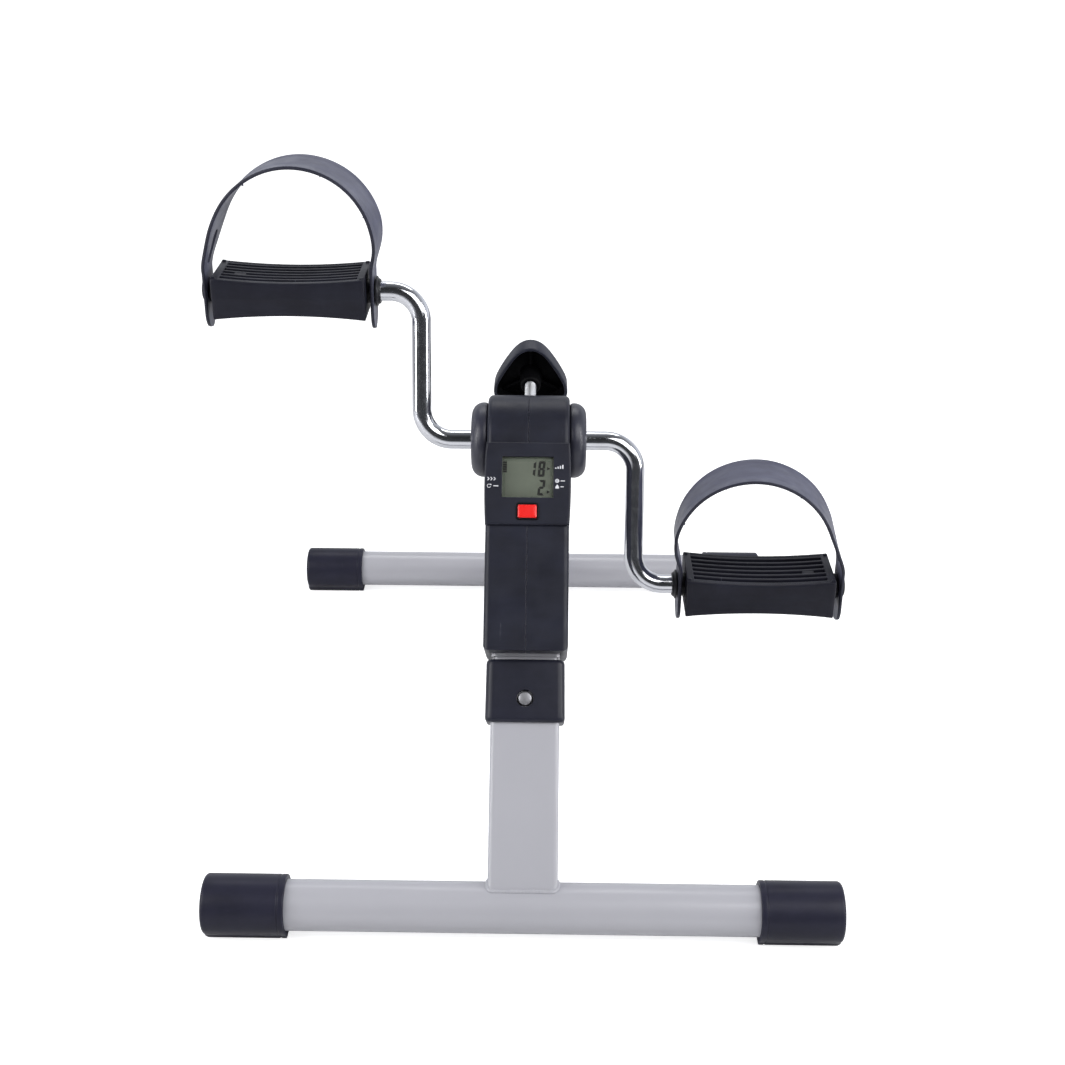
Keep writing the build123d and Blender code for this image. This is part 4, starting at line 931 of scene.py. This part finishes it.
def screw():
    """Rolled M8 thread from the shoe to the knob."""
    n = 36
    z, end = SCREW_Z
    rings = []
    while z <= end:
        ring = []
        for j in range(n):
            phase = (z / SCREW_PITCH - j / n) % 1.0
            wave = min(1.0, max(0.0, abs(phase - 0.5) * 2 * 1.25 - 0.1))
            r = SCREW_ROOT + (SCREW_R - SCREW_ROOT) * wave
            ring.append((r * math.cos(tau * j / n), r * math.sin(tau * j / n), z))
        rings.append(ring)
        z += SCREW_PITCH / 10
    piece = make("tension_screw_skin", "knob", *loft(rings), TENSION, M["zinc"], "zinc_steel", sharp=80)
    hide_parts("tension_screw")


screw()


# ---- pedal collars, bushes and end plugs ----
def pedal_fittings(side):
    """Flared collar and bushes on the spindle, and the plug with the peg that carries the strap."""
    body, place, bore = f"pedal_{side}", world_mm(SPINDLE[side]), SPINDLE_BORE

    def turned(profile, closed=True):
        return lathe([(side_sign(side) * x, r) for x, r in profile], 72, closed)

    flare = turned([(100.9, 7.95), (121.8, 7.95), (122.0, 7.7), (122.0, bore), (97.9, bore), (97.8, 7.4),
                    (98.1, 8.0), (98.9, 8.3), (99.5, 9.0), (99.9, 9.8), (100.3, 10.0), (100.7, 10.0),
                    (100.9, 9.8)])
    outer = turned([(188.0, bore), (196.5, bore), (196.5, 7.8), (196.3, 7.95), (188.2, 7.95), (188.0, 7.8)])
    piece = make(f"{body}_bush_skin", body, *join(flare, outer), place, M["bush"], "black_plastic")
    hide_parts(f"{body}_bushes")
    plug = turned([(202.5, 0.01), (202.5, 9.6), (205.5, 9.6), (205.6, 8.6), (209.4, 8.4), (209.9, 8.0),
                   (209.9, 5.0), (212.9, 5.0), (212.9, 7.1), (213.2, 7.5), (213.7, 7.45), (214.3, 7.0),
                   (214.75, 6.0), (214.9, 4.6), (214.7, 3.4), (214.4, 3.0), (214.4, 0.01)], closed=False)
    piece = make(f"{body}_plug_skin", body, *plug, place, M["bush"], "black_plastic")
    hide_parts(f"{body}_cap")


pedal_fittings("left")
pedal_fittings("right")


# ---- mode button ----
def mode_button():
    """Red push button with softly rounded edges, inside a raised lip coloured near black: painted shade of
    the gap round the button.
    """
    place = UPRIGHT @ Matrix.Translation((0, 0, (UPRIGHT.inverted() @ centre("mode_button")).z))

    def layer(y, half_w, half_h, r):
        return [(x, y, z) for x, z in rounded_rect(half_w, half_h, r, 6)]

    levels = ((-27.2, 0.0), (-32.9, 0.0), (-33.05, 0.1), (-33.25, 0.4), (-33.4, 1.2), (-33.45, 2.2))
    button = loft([layer(y, 6.1 - inset, 4.25 - inset, max(0.3, 1.0 - inset)) for y, inset in levels])
    piece = make("mode_button_skin", "mode_button", *button, place, M["red"], "red_button")
    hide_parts("mode_button")
    # The lip is bezel plastic coloured near black: painted shade of the gap round the button.
    levels = ((-31.6, 0.28), (-32.45, 0.28), (-32.55, 0.4), (-32.55, 1.0), (-32.4, 1.3), (-31.9, 1.5),
              (-31.6, 1.5))
    lip = loft([layer(y, 6.2 + grow, 4.35 + grow, 1.0 + grow) for y, grow in levels], cyclic=True)
    make("button_frame", "frame", *lip, place, M["gap"], "bezel_plastic")


mode_button()


# ---- display marks ----
def plate(points, y):
    """Thin flat shape from x, z points, with its front at y."""
    return loft([[(x, depth, z) for x, z in points] for depth in (y, y + 0.05)])


def box_points(x0, z0, x1, z1):
    return [(x0, z0), (x1, z0), (x1, z1), (x0, z1)]


def digit(left, base, w, height, segments):
    """Seven-segment digit that leans a little; segments is a string of a to g."""
    t, g, slant = 1.6, 0.22, 0.09                   # stroke, gap between strokes, lean
    mid, top = base + height / 2, base + height
    shapes = {
        "a": [(g, top), (w - g, top), (w - g - t * 0.8, top - t), (g + t * 0.8, top - t)],
        "g": [(g + 0.3, mid), (g + t * 0.7, mid + t / 2), (w - g - t * 0.7, mid + t / 2),
              (w - g - 0.3, mid), (w - g - t * 0.7, mid - t / 2), (g + t * 0.7, mid - t / 2)],
        "d": [(g, base), (g + t * 0.8, base + t), (w - g - t * 0.8, base + t), (w - g, base)],
        "f": [(0, top - g), (t, top - g - t * 0.8), (t, mid + g + t * 0.4), (0, mid + g)],
        "b": [(w, top - g), (w - t, top - g - t * 0.8), (w - t, mid + g + t * 0.4), (w, mid + g)],
        "e": [(0, mid - g), (t, mid - g - t * 0.4), (t, base + g + t * 0.8), (0, base + g)],
        "c": [(w, mid - g), (w - t, mid - g - t * 0.4), (w - t, base + g + t * 0.8), (w, base + g)],
    }
    return join(*[plate([(left + x + (z - base) * slant, z) for x, z in shapes[s]], LCD_Y) for s in segments])


def lcd_ink():
    """Figures in two rows, an arrow head beside each row and a column of bars."""
    parts = [digit(0.6, 271.7, 4.0, 10.3, "bc"), digit(6.2, 271.7, 4.4, 10.3, "abcdefg"),
             digit(6.2, 259.3, 4.4, 10.3, "abged")]
    parts += [plate([(12.4, z), (14.6, z + 1.1), (12.4, z + 2.2)], LCD_Y) for z in (276.0, 260.6)]
    parts += [plate(box_points(-16.2, z, -13.6, z + 1.3), LCD_Y) for z in (274.4, 275.9, 277.4, 278.9, 280.4)]
    make("lcd_ink", "frame", *join(*parts), UPRIGHT, M["ink"], "lcd", smooth=False)


lcd_ink()


def ring_mark(cx, cz, r, a0=0, a1=360):
    """Open or closed circle in a thin line."""
    return plate(arc(cx, cz, r, a0, a1, 24) + arc(cx, cz, r - 0.35, a1, a0, 24), PRINT_Y)


def strip(x0, z0, x1, z1):
    return plate(box_points(x0, z0, x1, z1), PRINT_Y)


def white_marks():
    """Plain symbols beside the window: steps, clock, flame, pace arrows and a loop."""
    right, left = 17.6, -26.2
    parts = [strip(right + k * 1.5, 276.4, right + 0.85 + k * 1.5, 277.2 + 0.6 * k) for k in range(4)]
    parts += [ring_mark(right + 1.4, 268.4, 1.35), strip(right + 1.25, 268.3, right + 1.5, 269.3),
              strip(right + 1.3, 268.3, right + 2.2, 268.55), strip(right + 3.6, 268.1, right + 6.4, 268.7)]
    flame = ((0.4, 263.3), (2.4, 263.3), (2.7, 264.3), (1.5, 266.1), (0.1, 264.3))
    parts += [plate([(right + x, z) for x, z in flame], PRINT_Y),
              strip(right + 3.6, 264.2, right + 5.6, 264.8)]
    arrow = ((0, 268.3), (0.7, 268.3), (1.7, 269.4), (0.7, 270.5), (0, 270.5), (1.0, 269.4))
    parts += [plate([(left + k * 2.0 + x, z) for x, z in arrow], PRINT_Y) for k in range(3)]
    head = ((1.9, 265.2), (3.1, 265.2), (2.5, 266.3))
    parts += [ring_mark(left + 1.3, 264.7, 1.3, 40, 340), plate([(left + x, z) for x, z in head], PRINT_Y),
              strip(left + 4.2, 264.4, left + 7.4, 265.0)]
    make("display_marks", "frame", *join(*parts), UPRIGHT, M["print"], "bezel_plastic", smooth=False)


white_marks()


# ---- stage, light and camera ----
def stage():
    """Plain white floor that glows for the camera, more so far away."""
    bm = bmesh.new()
    bmesh.ops.create_grid(bm, x_segments=2, y_segments=2, size=9.0)
    mesh = bpy.data.meshes.new("floor")
    bm.to_mesh(mesh)
    bm.free()
    floor = bpy.data.objects.new("floor", mesh)
    floor.location = (0, 0, -0.0004)
    bpy.context.collection.objects.link(floor)
    m = Nodes("floor_paper")
    tone = m.ramp(m.noise(3, 3), 0.3, 0.7)
    m.set("Base Color", m.mix(tone, (0.76, 0.76, 0.765, 1), (0.79, 0.79, 0.795, 1)))
    m.set("Roughness", 0.9)
    m.set("Specular IOR Level", 0.1)
    m.set("Emission Color", (1, 1, 1, 1))
    seen = m.add("ShaderNodeLightPath").outputs["Is Camera Ray"]
    far = m.add("ShaderNodeVectorMath", operation="LENGTH")
    m.link(m.coord, far.inputs[0])
    glow = m.ramp(far.outputs["Value"], 1.0, 2.5, 0.74, 1.1)
    m.set("Emission Strength", m.maths("MULTIPLY", seen, glow))
    mesh.materials.append(m.mat)


def world_light():
    """White surround for the camera; for light it is bright behind and beside, dark by the camera."""
    world = bpy.data.worlds.new("studio")
    bpy.context.scene.world = world
    world.use_nodes = True
    nt = world.node_tree
    nt.nodes.clear()
    link = nt.links.new

    def node(kind, **values):
        new = nt.nodes.new(kind)
        for key, value in values.items():
            key = key.replace("_", " ")
            if key in new.inputs:
                new.inputs[key].default_value = value
        return new

    coord = node("ShaderNodeTexCoord")
    split = node("ShaderNodeSeparateXYZ")
    link(coord.outputs["Generated"], split.inputs[0])
    depth = node("ShaderNodeMapRange", From_Min=-0.75, From_Max=0.45, To_Min=0.06, To_Max=1.0)
    depth.interpolation_type = "SMOOTHSTEP"
    link(split.outputs["Y"], depth.inputs["Value"])
    above = node("ShaderNodeMapRange", From_Min=0.10, From_Max=0.85, To_Min=1.0, To_Max=0.25)
    link(split.outputs["Z"], above.inputs["Value"])
    both = nt.nodes.new("ShaderNodeMath")
    both.operation = "MULTIPLY"
    link(depth.outputs[0], both.inputs[0])
    link(above.outputs[0], both.inputs[1])
    lit = node("ShaderNodeBackground", Color=(0.91, 0.94, 1.0, 1))
    link(both.outputs[0], lit.inputs["Strength"])
    seen = node("ShaderNodeBackground", Color=(1, 1, 1, 1), Strength=1.0)
    path = node("ShaderNodeLightPath")
    mixer = node("ShaderNodeMixShader")
    link(path.outputs["Is Camera Ray"], mixer.inputs[0])
    link(lit.outputs[0], mixer.inputs[1])
    link(seen.outputs[0], mixer.inputs[2])
    out = node("ShaderNodeOutputWorld")
    link(mixer.outputs[0], out.inputs[0])


def area(name, at, to, size, power, size_y=None):
    """Soft rectangular light aimed at a point."""
    light = bpy.data.lights.new(name, "AREA")
    light.energy, light.size = power, size
    light.shape = "RECTANGLE"
    light.size_y = size_y or size
    obj = bpy.data.objects.new(name, light)
    obj.location = at
    obj.rotation_euler = (Vector(to) - Vector(at)).to_track_quat("-Z", "Y").to_euler()
    bpy.context.collection.objects.link(obj)


def camera():
    """Camera a little right of the mid-plane, in front of and above the exerciser, looking down."""
    pitch, yaw, roll = math.radians(26.9), math.radians(-0.706), math.radians(0.306)
    ahead = Vector((math.sin(yaw) * math.cos(pitch), math.cos(yaw) * math.cos(pitch), -math.sin(pitch)))
    right = Vector((math.cos(yaw), -math.sin(yaw), 0))
    up = right.cross(ahead)
    rolled_right = right * math.cos(roll) + up * math.sin(roll)
    rolled_up = -right * math.sin(roll) + up * math.cos(roll)
    data = bpy.data.cameras.new("camera")
    data.sensor_width = 36.0
    data.lens = 51.289014
    cam = bpy.data.objects.new("camera", data)
    turn = Matrix((rolled_right, rolled_up, -ahead)).transposed().to_4x4()
    eye = (0.0142, FRONT.y - 0.7436, 0.6618)
    cam.matrix_world = Matrix.Translation(eye) @ turn
    bpy.context.collection.objects.link(cam)
    bpy.context.scene.camera = cam


stage()
world_light()
area("key", (1.1, -1.1, 1.7), (0, 0, 0.15), 1.4, 21)
area("fill", (-1.3, -1.1, 1.3), (0, 0, 0.15), 1.2, 12)
area("strip_left", (-1.5, -0.55, 0.75), (0, 0, 0.25), 0.28, 11, 1.2)
area("strip_right", (1.5, -0.45, 0.75), (0, 0, 0.25), 0.28, 12, 1.2)
area("rim", (0, 0.9, 1.5), (0, 0, 0.25), 1.4, 7, 0.5)
camera()
bpy.context.scene.view_settings.view_transform = "Standard"
